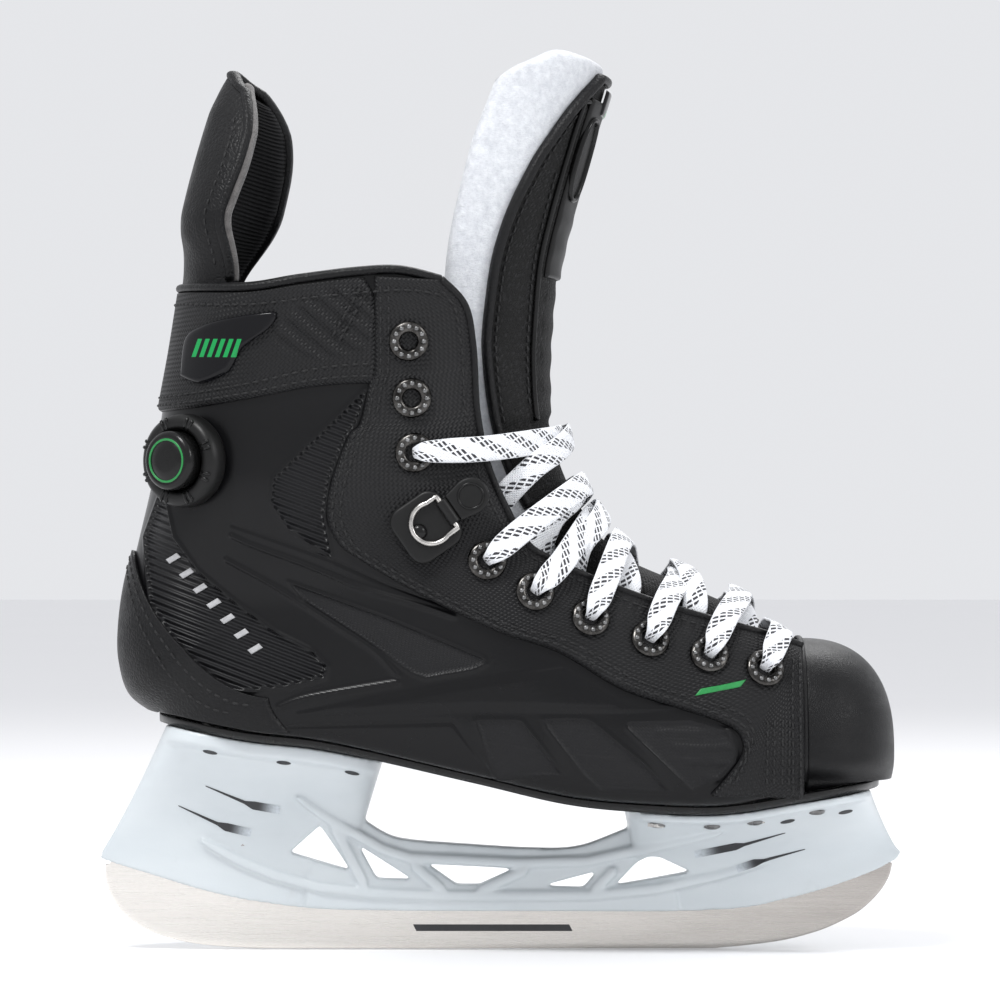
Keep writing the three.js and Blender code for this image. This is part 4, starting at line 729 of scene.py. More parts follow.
def skin(name, outer, inner, material, body="boot", masks=None, flip=False, uv=None):
    """A closed thin piece between two grids of points; masks are given for the outer grid."""
    rows, cols = outer.shape[:2]
    n = rows * cols
    points = np.concatenate([outer.reshape(-1, 3), inner.reshape(-1, 3)])
    faces = [grid_faces(rows, cols, 0, flip), grid_faces(rows, cols, n, not flip)]
    top = np.arange(cols)
    side = np.arange(rows) * cols
    bottom = top + (rows - 1) * cols
    for line, turned in ((top, False), (bottom, True), (side, True), (side + cols - 1, False)):
        a, b = line[:-1], line[1:]
        quad = (a, a + n, b + n, b) if turned == flip else (a, b, b + n, a + n)
        faces.append(np.stack(quad, -1))
    uv = grid_uv(outer) if uv is None else uv
    uvs = np.concatenate([uv.reshape(-1, 2)] * 2)
    spread = {k: np.concatenate([m.ravel(), m.ravel()]) for k, m in (masks or {}).items()}
    mesh = make_mesh(name, points, np.concatenate(faces), uvs, spread)
    return add_object(name, mesh, material, body)


def ring_section(radius_a, radius_b, sides):
    a = np.linspace(0, 2 * np.pi, sides, endpoint=False)
    return np.stack([radius_a * np.cos(a), radius_b * np.sin(a)], -1)


def flat_section(width, thick, sides=16, power=3.2):
    a = np.linspace(0, 2 * np.pi, sides, endpoint=False)
    c, s = np.cos(a), np.sin(a)
    e = 2 / power
    return np.stack([
        width / 2 * np.sign(c) * np.abs(c) ** e,
        thick / 2 * np.sign(s) * np.abs(s) ** e,
    ], -1)


def sweep_points(path, ups, section, widths=None, closed=False):
    """Rings of a section along a path; the section's second axis follows ups."""
    path = np.asarray(path, float)
    if closed:
        t = unit(np.roll(path, -1, 0) - np.roll(path, 1, 0))
    else:
        t = unit(np.gradient(path, axis=0))
    across = unit(np.cross(ups, t))
    up = np.cross(t, across)
    w = np.ones(len(path)) if widths is None else np.asarray(widths)
    return (
        path[:, None]
        + across[:, None] * (section[None, :, 0] * w[:, None])[..., None]
        + up[:, None] * section[None, :, 1][..., None]
    )


def tube_mesh(name, rings, closed=False, uvs=None):
    rows, cols = rings.shape[:2]
    if closed:
        rings = np.concatenate([rings, rings[:1]])
        rows += 1
    points = rings.reshape(-1, 3)
    faces = [list(f) for f in grid_faces(rows, cols, 0, False, True)]
    if closed:
        faces = [[int(i) % ((rows - 1) * cols) for i in f] for f in faces]
        points = points[:(rows - 1) * cols]
    else:
        faces.append(list(range(cols))[::-1])
        faces.append([(rows - 1) * cols + k for k in range(cols)])
    return make_mesh(name, points, faces, uvs)


def tube(name, path, ups, section, material, body="boot", closed=False, widths=None):
    rings = sweep_points(path, ups, section, widths, closed)
    return add_object(name, tube_mesh(name, rings, closed), material, body)


def resample(points, step):
    p = np.asarray(points, float)
    d = np.concatenate([[0], np.cumsum(np.linalg.norm(np.diff(p, axis=0), axis=1))])
    count = max(2, int(round(d[-1] / step)) + 1)
    s = np.linspace(0, d[-1], count)
    return np.stack([np.interp(s, d, p[:, k]) for k in range(p.shape[1])], -1)


def rounded_path(points, per=8):
    """A centripetal curve through points in space, with any further columns carried along."""
    p = np.asarray(points, float)
    p = np.vstack([2 * p[0] - p[1], p, 2 * p[-1] - p[-2]])
    rows = []
    for i in range(1, len(p) - 2):
        q = p[i - 1:i + 3]
        d = np.maximum(np.linalg.norm(np.diff(q[:, :3], axis=0), axis=1), 1e-6) ** 0.5
        t0, t1, t2, t3 = np.concatenate([[0], np.cumsum(d)])
        t = np.linspace(t1, t2, per, endpoint=False)[:, None]
        a1 = (t1 - t) / (t1 - t0) * q[0] + (t - t0) / (t1 - t0) * q[1]
        a2 = (t2 - t) / (t2 - t1) * q[1] + (t - t1) / (t2 - t1) * q[2]
        a3 = (t3 - t) / (t3 - t2) * q[2] + (t - t2) / (t3 - t2) * q[3]
        b1 = (t2 - t) / (t2 - t0) * a1 + (t - t0) / (t2 - t0) * a2
        b2 = (t3 - t) / (t3 - t1) * a2 + (t - t1) / (t3 - t1) * a3
        rows.append((t2 - t) / (t2 - t1) * b1 + (t - t1) / (t2 - t1) * b2)
    return np.vstack([*rows, p[-2:-1]])


def turned(name, profile, sides, place, axis, material, body="boot", wrap=False):
    """A piece turned about an axis: profile of [radius, height] in millimetres."""
    profile = np.asarray(profile, float)
    z = unit(np.asarray(axis, float))
    x = unit(np.cross((0.0, 0.0, 1.0) if abs(z[2]) < 0.9 else (1.0, 0, 0), z))
    y = np.cross(z, x)
    a = np.linspace(0, 2 * np.pi, sides, endpoint=False)
    spoke = np.cos(a)[:, None] * x + np.sin(a)[:, None] * y
    rings = place + profile[:, 0, None, None] * spoke[None] + profile[:, 1, None, None] * z
    rows = len(profile)
    if wrap:
        faces = [[int(i) % (rows * sides) for i in f] for f in grid_faces(rows + 1, sides, 0, False, True)]
    else:
        faces = [list(f) for f in grid_faces(rows, sides, 0, False, True)]
        faces += [list(range(sides))[::-1], [(rows - 1) * sides + k for k in range(sides)]]
    mesh = make_mesh(name, rings.reshape(-1, 3), faces)
    return add_object(name, mesh, material, body)


def capsules(name, places, directions, normals, length, radius, material, body="boot"):
    """Many small stitches as one mesh: a rounded bar at each place."""
    stations = np.array([-1, -0.86, -0.5, 0, 0.5, 0.86, 1.0])
    girth = np.array([0.3, 0.8, 1.0, 1.0, 1.0, 0.8, 0.3])
    sides = 6
    a = np.linspace(0, 2 * np.pi, sides, endpoint=False)
    d = unit(np.asarray(directions))
    n = unit(np.asarray(normals))
    b = unit(np.cross(d, n))
    n = np.cross(b, d)
    sag = -0.35 * radius * stations**4 * 2
    along = (stations * length / 2)[None, :, None]
    centre = places[:, None] + d[:, None] * along + n[:, None] * sag[None, :, None]
    ring = np.cos(a)[:, None] * 1.0, np.sin(a)[:, None] * 0.8
    rings = (
        centre[:, :, None]
        + b[:, None, None] * (ring[0][None, None] * radius * girth[None, :, None, None])
        + n[:, None, None] * (ring[1][None, None] * radius * girth[None, :, None, None])
    )
    count, rows = len(places), len(stations)
    one = [list(f) for f in grid_faces(rows, sides, 0, False, True)]
    one += [list(range(sides))[::-1], [(rows - 1) * sides + k for k in range(sides)]]
    faces = [[i + k * rows * sides for i in f] for k in range(count) for f in one]
    mesh = make_mesh(name, rings.reshape(-1, 3), faces)
    return add_object(name, mesh, material, body)


def stitch_rows(name, paths, pitch=3.6, length=2.5, radius=0.42, body="boot", material=None):
    """Stitches along paths of [point, normal] rows."""
    places, ways, ups = [], [], []
    for path in paths:
        run = resample(path, pitch)
        if len(run) < 3:
            continue
        way = np.gradient(run[:, :3], axis=0)
        places.append(run[:-1, :3] + way[:-1] * 0.5)
        ways.append(way[:-1])
        ups.append(run[:-1, 3:6])
    return capsules(name, np.vstack(places), np.vstack(ways), np.vstack(ups), length, radius,
                    material or M["thread"], body)


def side_path(points, s, offset, smooth_line=False, step=1.5, shift=0.0):
    """A path on the boot's side along side-view points, moved sideways by shift."""
    line = Line(points, smooth_line)
    p = line.at(np.linspace(0, 1, max(3, int(line.length / step))))
    if shift:
        t = unit(np.gradient(p, axis=0))
        p = p + np.stack([-t[:, 1], t[:, 0]], -1) * shift
    at, n = side_at(p[:, 0], p[:, 1], s, offset)
    return np.hstack([at, n])


SIDES = (("lateral", -1), ("medial", 1))
make_camera()
make_stage()

# ---------------------------------------------------------------- moulded detail on the shell
CARBON = [
    (-119.2, 166.3), (-115.1, 147.7), (-106.2, 135.7), (-92.4, 124), (-78.7, 114), (-66.8, 108.3),
    (-60.8, 102.4), (-61.9, 98.3), (-74.5, 95.3), (-88.6, 93.4), (-96.3, 94.3), (-104.2, 100.2),
    (-114.2, 110.1), (-124.1, 124), (-126.5, 147.7),
]
ANKLE = [
    (-46.5, 200.1), (-79.6, 168.4), (-80.5, 159.5), (-74.5, 150.5), (-58.8, 139.6), (-61.9, 155.4),
    (-59.8, 168.4), (-54.1, 183.2), (-50.3, 187.8),
]
INNER = [
    (-74.5, 131.9), (-39, 119), (-5.6, 105.2), (-5.1, 103.4), (-9.5, 101.3), (-26.4, 98.3),
    (-31.3, 100.2), (-48.9, 112.2), (-68.7, 124.8),
]
LENS = [
    (-71.2, 85.1), (-48.9, 89.3), (-19.3, 95), (7, 99.2), (22.5, 101.6), (44.3, 88.8),
    (61.9, 87.9), (42.2, 87.2), (-7, 87.9),
]
FOREFOOT_PANELS = [
    [(-8.4, 83.4), (5.3, 83.4), (7.7, 83), (22.5, 64), (14.1, 64), (-1.8, 62.3)],
    [
        (15.6, 83.9), (29.5, 83.9), (32.3, 83), (50.3, 68.1), (60.1, 58.2), (35.1, 58.8),
        (29.5, 64), (16.5, 80.9),
    ],
    [
        (44.6, 83), (66.1, 83.4), (80.8, 79.5), (82.6, 74.2), (82.3, 68.6), (77.3, 63.7),
        (67.8, 58.2), (44.6, 80.9),
    ],
]
FOREFOOT_BARS = [(53.8, 80.8, 79.5), (59.4, 82.6, 74), (65, 82.3, 68.6), (69.9, 77.3, 63.4)]
RAISED_LINES = [
    [(-94.4, 148), (-86.5, 144.5), (-68.7, 137.9), (-48.9, 129.8), (-29.2, 124), (-16.5, 119.9)],
    [(-96.3, 139.6), (-78.7, 129.8), (-58.7, 117.1), (-43.9, 107.3), (-36.2, 99.2)],
    [(-36.2, 96.7), (-58.7, 92.9), (-70.7, 90.4), (-77.7, 87.6)],
]
SUNK_LINES = [
    [(-74.5, 80.6), (-16.5, 82.7), (-1.8, 62.3)],
    [(-94.4, 152), (-60, 140), (-40, 131), (-16, 122.5)],
]


def ridge(d, height, half):
    return height * np.exp(-((d / half) ** 2))


def shell_relief(x, z):
    """Height of the moulded pattern over the smooth shell, and where it is ribbed or textured."""
    height = np.zeros_like(x)
    carbon, ankle = inside(CARBON, x, z), inside(ANKLE, x, z)
    inner, lens = inside(INNER, x, z), inside(LENS, x, z)
    height += -0.55 * smooth(carbon / 0.9) + ridge(carbon, 0.65, 0.7)
    height += -0.45 * smooth(ankle / 0.9) + ridge(ankle, 0.4, 0.65)
    height += -0.5 * smooth(inner / 0.8) + ridge(inner, 0.45, 0.65)
    height += 0.55 * smooth(lens / 1.8) + ridge(lens, 0.35, 0.65)
    panel = smooth(inner / 0.8)
    for outline in FOREFOOT_PANELS:
        d = inside(outline, x, z)
        height += -0.6 * smooth(d / 0.9) + ridge(d, 0.45, 0.6)
        panel = np.maximum(panel, smooth(d / 0.8))
    for a, b, level in FOREFOOT_BARS:
        d = distance(np.array([(a + 2, level), (b - 2, level)]), x, z)
        height += ridge(d, 0.7, 1.0)
    for points in RAISED_LINES:
        height += ridge(distance(Line(points).thinned(40), x, z), 0.95, 0.85)
    for points in SUNK_LINES:
        height += ridge(distance(Line(points, False).thinned(40), x, z), -0.55, 0.6)
    ribs = np.maximum(smooth(carbon / 0.8), smooth(ankle / 0.8))
    return height, panel, ribs


SHELL_WALL = 3.0


def quarter_shell():
    u, v = np.meshgrid(np.linspace(-1, 1, 801), np.linspace(0, 1, 301))
    outer = upper_point(u, v)
    height, panel, ribs = shell_relief(outer[..., 0], outer[..., 2])
    normal = upper_normal(u, v)
    inner = outer - normal * SHELL_WALL
    outer = outer + normal * height[..., None]
    shell = skin("quarter_shell_moulded", outer, inner, M["shell"], masks={"panel": panel, "ribs": ribs})
    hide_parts("quarter_shell")


FRONT_DOWN = Line(FRONT_EDGE.points[::-1], False)
SEAM_MATES = [
    ((-44.1, 239), COLLAR_FRONT), ((-49, 187.8), (-9, 192)), ((-60.8, 155.4), (-2, 164)),
    ((-49, 139.6), (8.5, 145)), ((-19.3, 123.1), (25, 134.8)), ((20.6, 107.3), (50, 124.6)),
    ((61.9, 87.9), (93, 112)), ((85.1, 72.1), (TOE_JOINT, 92)), ((74, 57.5), (TOE_JOINT, 58)),
]


def share_near(line, point):
    d = np.hypot(*(line.points - np.array(point)).T)
    return line.along[np.argmin(d)] / line.length


def facing_place(w, t):
    """Side-view point of a facing: w runs down it, t from its seam to its front edge."""
    seam = [share_near(FACING_SEAM, a) for a, _ in SEAM_MATES]
    front = [share_near(FRONT_DOWN, b) for _, b in SEAM_MATES]
    a, b = FACING_SEAM.at(w), FRONT_DOWN.at(np.interp(w, seam, front))
    return a + (b - a) * t[..., None]


FACING_TOP = 2.8


def facings():
    rows = np.linspace(0, 1, 260)
    cols = np.linspace(0, 1, 44)
    t, w = np.meshgrid(cols, rows)
    p = facing_place(w, t)
    x, z = p[..., 0], p[..., 1]
    width = np.hypot(*(facing_place(rows, np.ones_like(rows)) - facing_place(rows, np.zeros_like(rows))).T)
    from_seam = t * width[:, None]
    from_front = (1 - t) * width[:, None]
    top = 0.9 + (FACING_TOP - 0.9) * dome(from_seam / 1.6, 2) * dome(from_front / 2.0, 2)
    for s_name, s in SIDES:
        outer, _ = side_at(x, z, s, top)
        inner, _ = side_at(x, z, s, 0.2)
        facing = skin(f"facing_{s_name}_woven", outer, inner, M["overlay"], flip=s < 0)
        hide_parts(f"facing_{s_name}")


# ---------------------------------------------------------------- collar, counter and edges
BAND_HALF = 0.75


def band_low(u):
    return 0.72 + 0.105 * smooth(np.abs(u) / BAND_HALF)




def collar_band():
    cols, rows = np.linspace(-BAND_HALF, BAND_HALF, 360), np.linspace(0, 1, 90)
    u, r = np.meshgrid(cols, rows)
    v = mix(band_low(u), 0.988, r)
    height = 0.3 + 1.6 * dome(r * 38 / 2.0, 2) * dome((BAND_HALF - np.abs(u)) * 60 / 1.5, 2)
    base = upper_point(u, v)
    x, z = base[..., 0], base[..., 2]
    # Chevron ribs slope forward and down in a lens between the badge and the eyelets.
    lens = inside(CHEVRONS, x, z)
    slope = (x * 0.62 + z * 0.78) / 6.2
    height = height + smooth(lens / 2.0) * (0.55 * smooth(np.abs((slope % 1) - 0.5) * 4 - 0.5) - 0.2)
    band = skin("collar_band_woven", upper_at(u, v, height), upper_at(u, v, 0.1), M["overlay"], flip=False)
    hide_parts("collar_band")


CHEVRONS = [(-79, 214), (-62, 209), (-47, 213), (-40, 224), (-44, 236), (-60, 236), (-72, 229), (-80, 220)]


def heel_counter():
    cols = np.linspace(-0.36, 0.36, 120)
    rows = np.linspace(0, 1, 90)
    u, r = np.meshgrid(cols, rows)
    reach = np.abs(u) / 0.36
    v = mix(0.012, 0.40 - 0.30 * smooth(reach), r)
    height = 0.2 + 1.5 * dome(r * 40 / 1.6, 2) * dome((0.36 - np.abs(u)) * 80 / 1.6, 2)
    piece = skin("heel_counter_woven", upper_at(u, v, height), upper_at(u, v, 0.1), M["leather"])
    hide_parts("heel_counter")
    edges = []
    for inset in (0.03, 0.07):
        line_u = np.linspace(-0.36 + inset, 0.36 - inset, 160)
        line_v = 0.40 - 0.30 * smooth(np.abs(line_u) / (0.36 - inset)) - inset * 0.55
        edges.append(np.hstack([upper_at(line_u, line_v, 1.75), upper_normal(line_u, line_v)]))
    stitch_rows("heel_counter_stitches", edges)


def edge_bindings():
    """A rolled binding round the collar and down both throat edges."""
    ends = 1.0
    lines = []
    for s_name, s in SIDES:
        down = THROAT_EDGE.at(np.linspace(ends, 0.0, 150))
        p, n = side_at(down[:, 0], down[:, 1], s, 0.2)
        lines.append((s, p, n))
        tube(f"throat_binding_{s_name}", p, n, flat_section(3.2, 6.6, 16, 2.4), M["leather"])
    u = np.linspace(-1, 1, 300)
    p, n = upper_at(u, np.full_like(u, 1.0), np.full_like(u, -1.1)), upper_normal(u, np.full_like(u, 1.0))
    tube("collar_binding", p, n, flat_section(3.6, 7.4, 16, 2.4), M["leather"])


def overlay_stitches():
    """Black double rows along the facing seam, the throat edge, the collar and the toe joint."""
    paths = []
    toe = []
    for _, s in SIDES:
        for t_mm in (2.2, 5.0):
            w = np.linspace(0.01, 0.985, 500)
            width = np.hypot(*(facing_place(w, np.ones_like(w)) - facing_place(w, np.zeros_like(w))).T)
            p = facing_place(w, t_mm / width)
            at, n = side_at(p[:, 0], p[:, 1], s, FACING_TOP + 0.1)
            paths.append(np.hstack([at, n]))
        w = np.linspace(0.02, 0.8, 400)
        width = np.hypot(*(facing_place(w, np.ones_like(w)) - facing_place(w, np.zeros_like(w))).T)
        p = facing_place(w, 1 - 4.2 / width)
        at, n = side_at(p[:, 0], p[:, 1], s, FACING_TOP + 0.1)
        paths.append(np.hstack([at, n]))
        for shift in (1.6, 4.4):
            z = np.linspace(59, 103, 60)
            at, n = side_at(np.full_like(z, TOE_JOINT - shift), z, s, FACING_TOP + 0.1)
            toe.append(np.hstack([at, n]))
        for shift in (-1.4, 1.4):
            strap = side_path([(-47.5, 234.5), (-57.8, 217)], s, FACING_TOP - 0.4, shift=shift)
            paths.append(strap)
        rows = [side_path([(x, 61), (x + 0.5, 83)], s, FACING_TOP + 0.1) for x in (93, 95.5, 98.5, 101)]
        toe.extend(rows)
    for inset in (0.012, 0.03):
        u = np.linspace(-BAND_HALF + 0.02, BAND_HALF - 0.02, 400)
        v = band_low(u) + inset
        paths.append(np.hstack([upper_at(u, v, np.full_like(u, 2.0)), upper_normal(u, v)]))
    u = np.linspace(-0.93, 0.93, 400)
    v = np.full_like(u, 0.962)
    lift = np.full_like(u, 2.1) + 0.9 * smooth((np.abs(u) - 0.68) / 0.05)
    paths.append(np.hstack([upper_at(u, v, lift), upper_normal(u, v)]))
    stitch_rows("seam_stitches", paths)
    stitch_rows("toe_joint_stitches", toe, pitch=3.2, length=2.3)


def plate(name, outline, centre, s, base, top, material, rings=14, around=140, edge=1.6, smooth_line=True):
    """A raised patch with rounded edges on the boot's side, from a closed side-view outline."""
    loop = Line([*outline, outline[0]], smooth_line).thinned(around + 1)[:-1]
    c = np.array(centre)
    shares = np.concatenate([[0.0], np.linspace(0.12, 0.9, rings - 5), [0.94, 0.97, 0.99, 1.0]])
    p = c + (loop - c)[None] * shares[:, None, None]
    reach = np.linalg.norm(loop - c, axis=-1)
    inward = (1 - shares)[:, None] * reach[None]
    height = base + (top - base) * dome(inward / edge, 2)
    at, _ = side_at(p[..., 0], p[..., 1], s, height)
    low, _ = side_at(loop[:, 0], loop[:, 1], s, base)
    points = np.concatenate([at.reshape(-1, 3), low])
    faces = [list(f) for f in grid_faces(len(shares) + 1, around, 0, s > 0, True)]
    uv = np.concatenate([(p - c).reshape(-1, 2), loop - c])
    mesh = make_mesh(name, points, faces, uv)
    return add_object(name, mesh, material)


BADGE = [
    (-110.9, 203.9), (-109.3, 217.3), (-103, 222.2), (-94.2, 224.7), (-80.3, 226.8), (-77.8, 225.7),
    (-80.3, 221.2), (-89.3, 214.1), (-93.1, 207.4), (-95.3, 205), (-104, 201.5),
]


def badges_and_marks():
    for s_name, s in SIDES:
        badge = plate(f"collar_badge_{s_name}_gloss", BADGE, (-98, 214), s, 1.4, 3.6, M["badge"])
        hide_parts(f"collar_badge_{s_name}")
        for k in range(7):
            x, z = -118.6 + 4.9 * k, 139.6 - 5.3 * k
            dash = [(x, z), (x + 1.5, z - 1.5), (x + 5.6, z + 0.9), (x + 4.1, z + 2.4)]
            middle = (x + 2.8, z + 0.4)
            name = f"carbon_dash_{s_name}_{k + 1}"
            plate(name, dash, middle, s, -0.6, -0.1, M["silver"], 8, 40, 0.4, False)
        mark = [(68, 91.2), (84, 94.2), (86, 96.6), (70, 93.6)]
        low, high = FACING_TOP - 0.4, FACING_TOP + 0.25
        plate(f"green_mark_{s_name}", mark, (77, 93.9), s, low, high, M["green"], 8, 60, 0.5, False)


def liner():
    """Padded lining with a rolled top edge."""
    u, r = np.meshgrid(np.linspace(-0.8, 0.8, 200), np.linspace(0, 1, 120))
    v = mix(0.06, 0.985, r)
    near_top = smooth((r - 0.72) / 0.2)
    roll = dome((1 - r) * 150 / 7, 2.2)
    outer = -6.2 + 2.9 * near_top
    thick = mix(5.0, 9.5, near_top * 0.8) * mix(0.35, 1, roll)
    puff = 0.5 * np.sin(u * 60) * 0.2 * near_top
    base, normal = upper_point(u, v), upper_normal(u, v)
    inner_skin = base + normal * (outer - thick - puff)[..., None]
    outer_skin = base + normal * outer[..., None]
    pad = skin("liner_padded", outer_skin, inner_skin, M["lining"])
    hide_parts("liner")


FOOTBED_X = (-112.0, 117.0)


def footbed():
    t, w = np.meshgrid(np.linspace(0, 1, 90), np.linspace(-1, 1, 40))
    x = mix(FOOTBED_X[0], FOOTBED_X[1], t)
    ends = dome((x - FOOTBED_X[0]) / 30, 2) * dome((FOOTBED_X[1] - x) / 30, 2)
    half = np.maximum(half_width(x, sole_z(x) + 8) - 15, 4) * ends + 0.4
    y = centre_y(x) + half * np.sign(w) * np.abs(w) ** 0.8
    low = sole_z(x) + 2.1
    cup = 1.6 * np.abs(w) ** 3
    top = low + mix(0.8, 3.5, dome((1 - np.abs(w)) * 6, 2)) + cup * 0.6
    upper, lower = np.stack([x, y, top], -1), np.stack([x, y, low], -1)
    piece = skin("footbed_foam", upper, lower, M["grey_felt"])
    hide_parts("footbed")


# ---------------------------------------------------------------- toe cap and outsole
CAP = {"x": TOE_JOINT + 0.8, "z": 70.0, "length": 33.8, "width": 45.5, "height": 41.0, "depth": 26.0}
CAP_E = 2 / 2.5


def spow(t, p):
    return np.sign(t) * np.abs(t) ** p


def cap_point(theta, phi, offset=0.0):
    rise = np.where(theta < 0, CAP["depth"], CAP["height"])
    r, c, s = spow(np.cos(theta), CAP_E), spow(np.cos(phi), CAP_E), spow(np.sin(phi), CAP_E)
    tuck = np.where(theta < 0, 0.87 + 0.13 * smooth(1 + theta / 0.25), 1.0)
    return np.stack([
        CAP["x"] + (CAP["length"] + offset) * r * c,
        centre_y(CAP["x"]) + 2 * c + (CAP["width"] + offset) * r * s * tuck,
        CAP["z"] + (rise + np.where(theta < 0, 0, offset)) * spow(np.sin(theta), CAP_E),
    ], -1)


def toe_cap():
    lowest = -math.asin((9.5 / CAP["depth"]) ** 1.25)
    thetas = np.concatenate([np.linspace(lowest, 0, 14)[:-1], np.linspace(0, math.pi / 2, 90)])
    phis = np.linspace(-math.pi / 2, math.pi / 2, 160)
    phi, theta = np.meshgrid(phis, thetas)
    outer = cap_point(theta, phi)
    inner = cap_point(theta, phi, -5.0)
    outer[0, :, 2] = sole_z(outer[0, :, 0]) + 0.2
    inner[0, :, 2] = outer[0, :, 2]
    cap = skin("toe_cap_moulded", outer, inner, M["cap"], flip=False)
    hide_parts("toe_cap")
    # A bead covers the cap's joint with the quarters.
    theta = np.linspace(lowest * 0.9, math.pi / 2, 60)
    back = [cap_point(theta, np.full_like(theta, s * math.pi / 2), 0.25) for s in (-1, 1)]
    path = np.vstack([back[0], back[1][::-1][1:]])
    path[:, 0] -= 0.5
    ups = unit(path - np.array([CAP["x"], centre_y(CAP["x"]), 66.0]))
    tube("toe_joint_bead", path, ups, flat_section(2.2, 1.6, 12, 2.2), M["cap"])


def sole_half(x):
    return (31 + 11 * smooth((x + 60) / 120)) * dome((x + 122) / 34, 2.2) * dome((136 - x) / 32, 2.4)


def outsole():
    t = np.concatenate([
        -122 + 34 * (1 - np.cos(np.linspace(0, math.pi / 2, 24))) ,
        np.linspace(-87, 103, 70),
        104 + 32 * np.sin(np.linspace(0, math.pi / 2, 26)),
    ])
    w = np.linspace(-1, 1, 31)
    w, x = np.meshgrid(w, t)
    half = np.maximum(sole_half(x), 0.2)
    y = centre_y(x) + half * w
    rim = dome((1 - np.abs(w)) * half / 1.3, 2)
    top = sole_z(x) - 0.4
    bottom = top - 0.7 - 2.3 * rim
    upper = np.stack([x, y, top], -1)
    lower = np.stack([x, y, bottom], -1)
    piece = skin("outsole_moulded", upper, lower, M["sole"])
    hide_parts("outsole")


# ---------------------------------------------------------------- tongue
RIDGE_POINTS = TONGUE_RIDGE
SHARE_TABLE = (0, 0.2, 0.45, 0.62, 0.8, 1.0), (24, 27, 29.5, 31, 37, 40)
DEPTH_TABLE = (0, 0.25, 0.45, 0.6, 0.85, 1.0), (16, 22, 32, 40, 42, 38)
FLEX_SHARE = 0.495


def tongue_point(t, psi, offset):
    t, psi = np.broadcast_arrays(np.asarray(t, float), np.asarray(psi, float))
    inside_t = np.clip(t, 0, 1)
    p = RIDGE_POINTS.at(inside_t)
    e = 0.002
    d = unit(RIDGE_POINTS.at(np.minimum(inside_t + e, 1)) - RIDGE_POINTS.at(np.maximum(inside_t - e, 0)))
    inward = np.stack([-d[..., 1], d[..., 0]], -1)
    power = 2 / 2.2
    reach = np.interp(inside_t, *DEPTH_TABLE) - offset
    depth = offset + reach * (1 - np.abs(np.cos(psi)) ** power)
    y = (np.interp(inside_t, *SHARE_TABLE) - offset) * spow(np.sin(psi), power)
    beyond = (t - inside_t) * RIDGE_POINTS.length
    x = p[..., 0] + inward[..., 0] * depth + d[..., 0] * beyond
    z = p[..., 1] + inward[..., 1] * depth + d[..., 1] * beyond
    return np.stack([x, centre_y(p[..., 0]) + y, z], -1)


def deg(a):
    return a * math.pi / 180


TONGUE_START = 0.065


def felt_end(psi):
    depth = 39.3 * (1 - np.abs(np.cos(psi)) ** (2 / 2.2))
    return 1.008 - 0.105 * (np.maximum(0, depth - 12) / 30) ** 2


# How far round the cover reaches on each side, from the toe to the tip.
WING_TABLE = (0, 0.62, 0.7, 0.78, 0.86, 0.92, 0.955, 0.975, 1), (66, 66, 64, 60, 52, 42, 33, 27, 12)
COVER_TOP = 0.985


def wing_half(t):
    """Half angle of the cover at each share, rounded where the table turns."""
    near = [np.interp(t + shift, *WING_TABLE) for shift in (-0.02, -0.01, 0, 0.01, 0.02)]
    return deg(sum(near) / len(near))


def soft_noise(points, scale, seed):
    """Smooth lumps from a few crossed sine waves; the same on every run."""
    rng = np.random.default_rng(seed)
    total = np.zeros(points.shape[:-1])
    for _ in range(7):
        way = rng.normal(size=3)
        total += np.sin(points @ way / scale + rng.uniform(0, 6.28))
    return total / 7


def tongue_felt():
    psi, r = np.meshgrid(np.linspace(-deg(88), deg(88), 120), np.linspace(0, 1, 260))
    t = mix(TONGUE_START, felt_end(psi), r)
    edge = dome((1 - np.abs(psi) / deg(88)) * 58 / 3.5, 2.2) * dome((1 - r) * 240 / 3.5, 2.2)
    upper = smooth((t - 0.4) / 0.14)
    back = mix(8.0, 11.6, upper)
    middle = (2.5 + back) / 2
    base = tongue_point(t, psi, 2.5)
    lumps = soft_noise(base, 9.0, 3) * 0.35
    lumpy = lumps * edge * smooth((t - 0.5) / 0.1)
    outer = tongue_point(t, psi, middle + (2.5 - middle) * mix(0.25, 1, edge) - lumpy)
    inner = tongue_point(t, psi, middle + (back - middle) * mix(0.25, 1, edge) + lumps * 1.4 * edge)
    felt_piece = skin("tongue_felt", outer, inner, M["white_felt"], body=None)
    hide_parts("tongue_felt_lower", "tongue_felt_upper")
    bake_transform(felt_piece)


INSERT_HALF = deg(34)
INSERT_RANGE = (0.50, 0.945)
FRONT_RIB_PITCH = 11


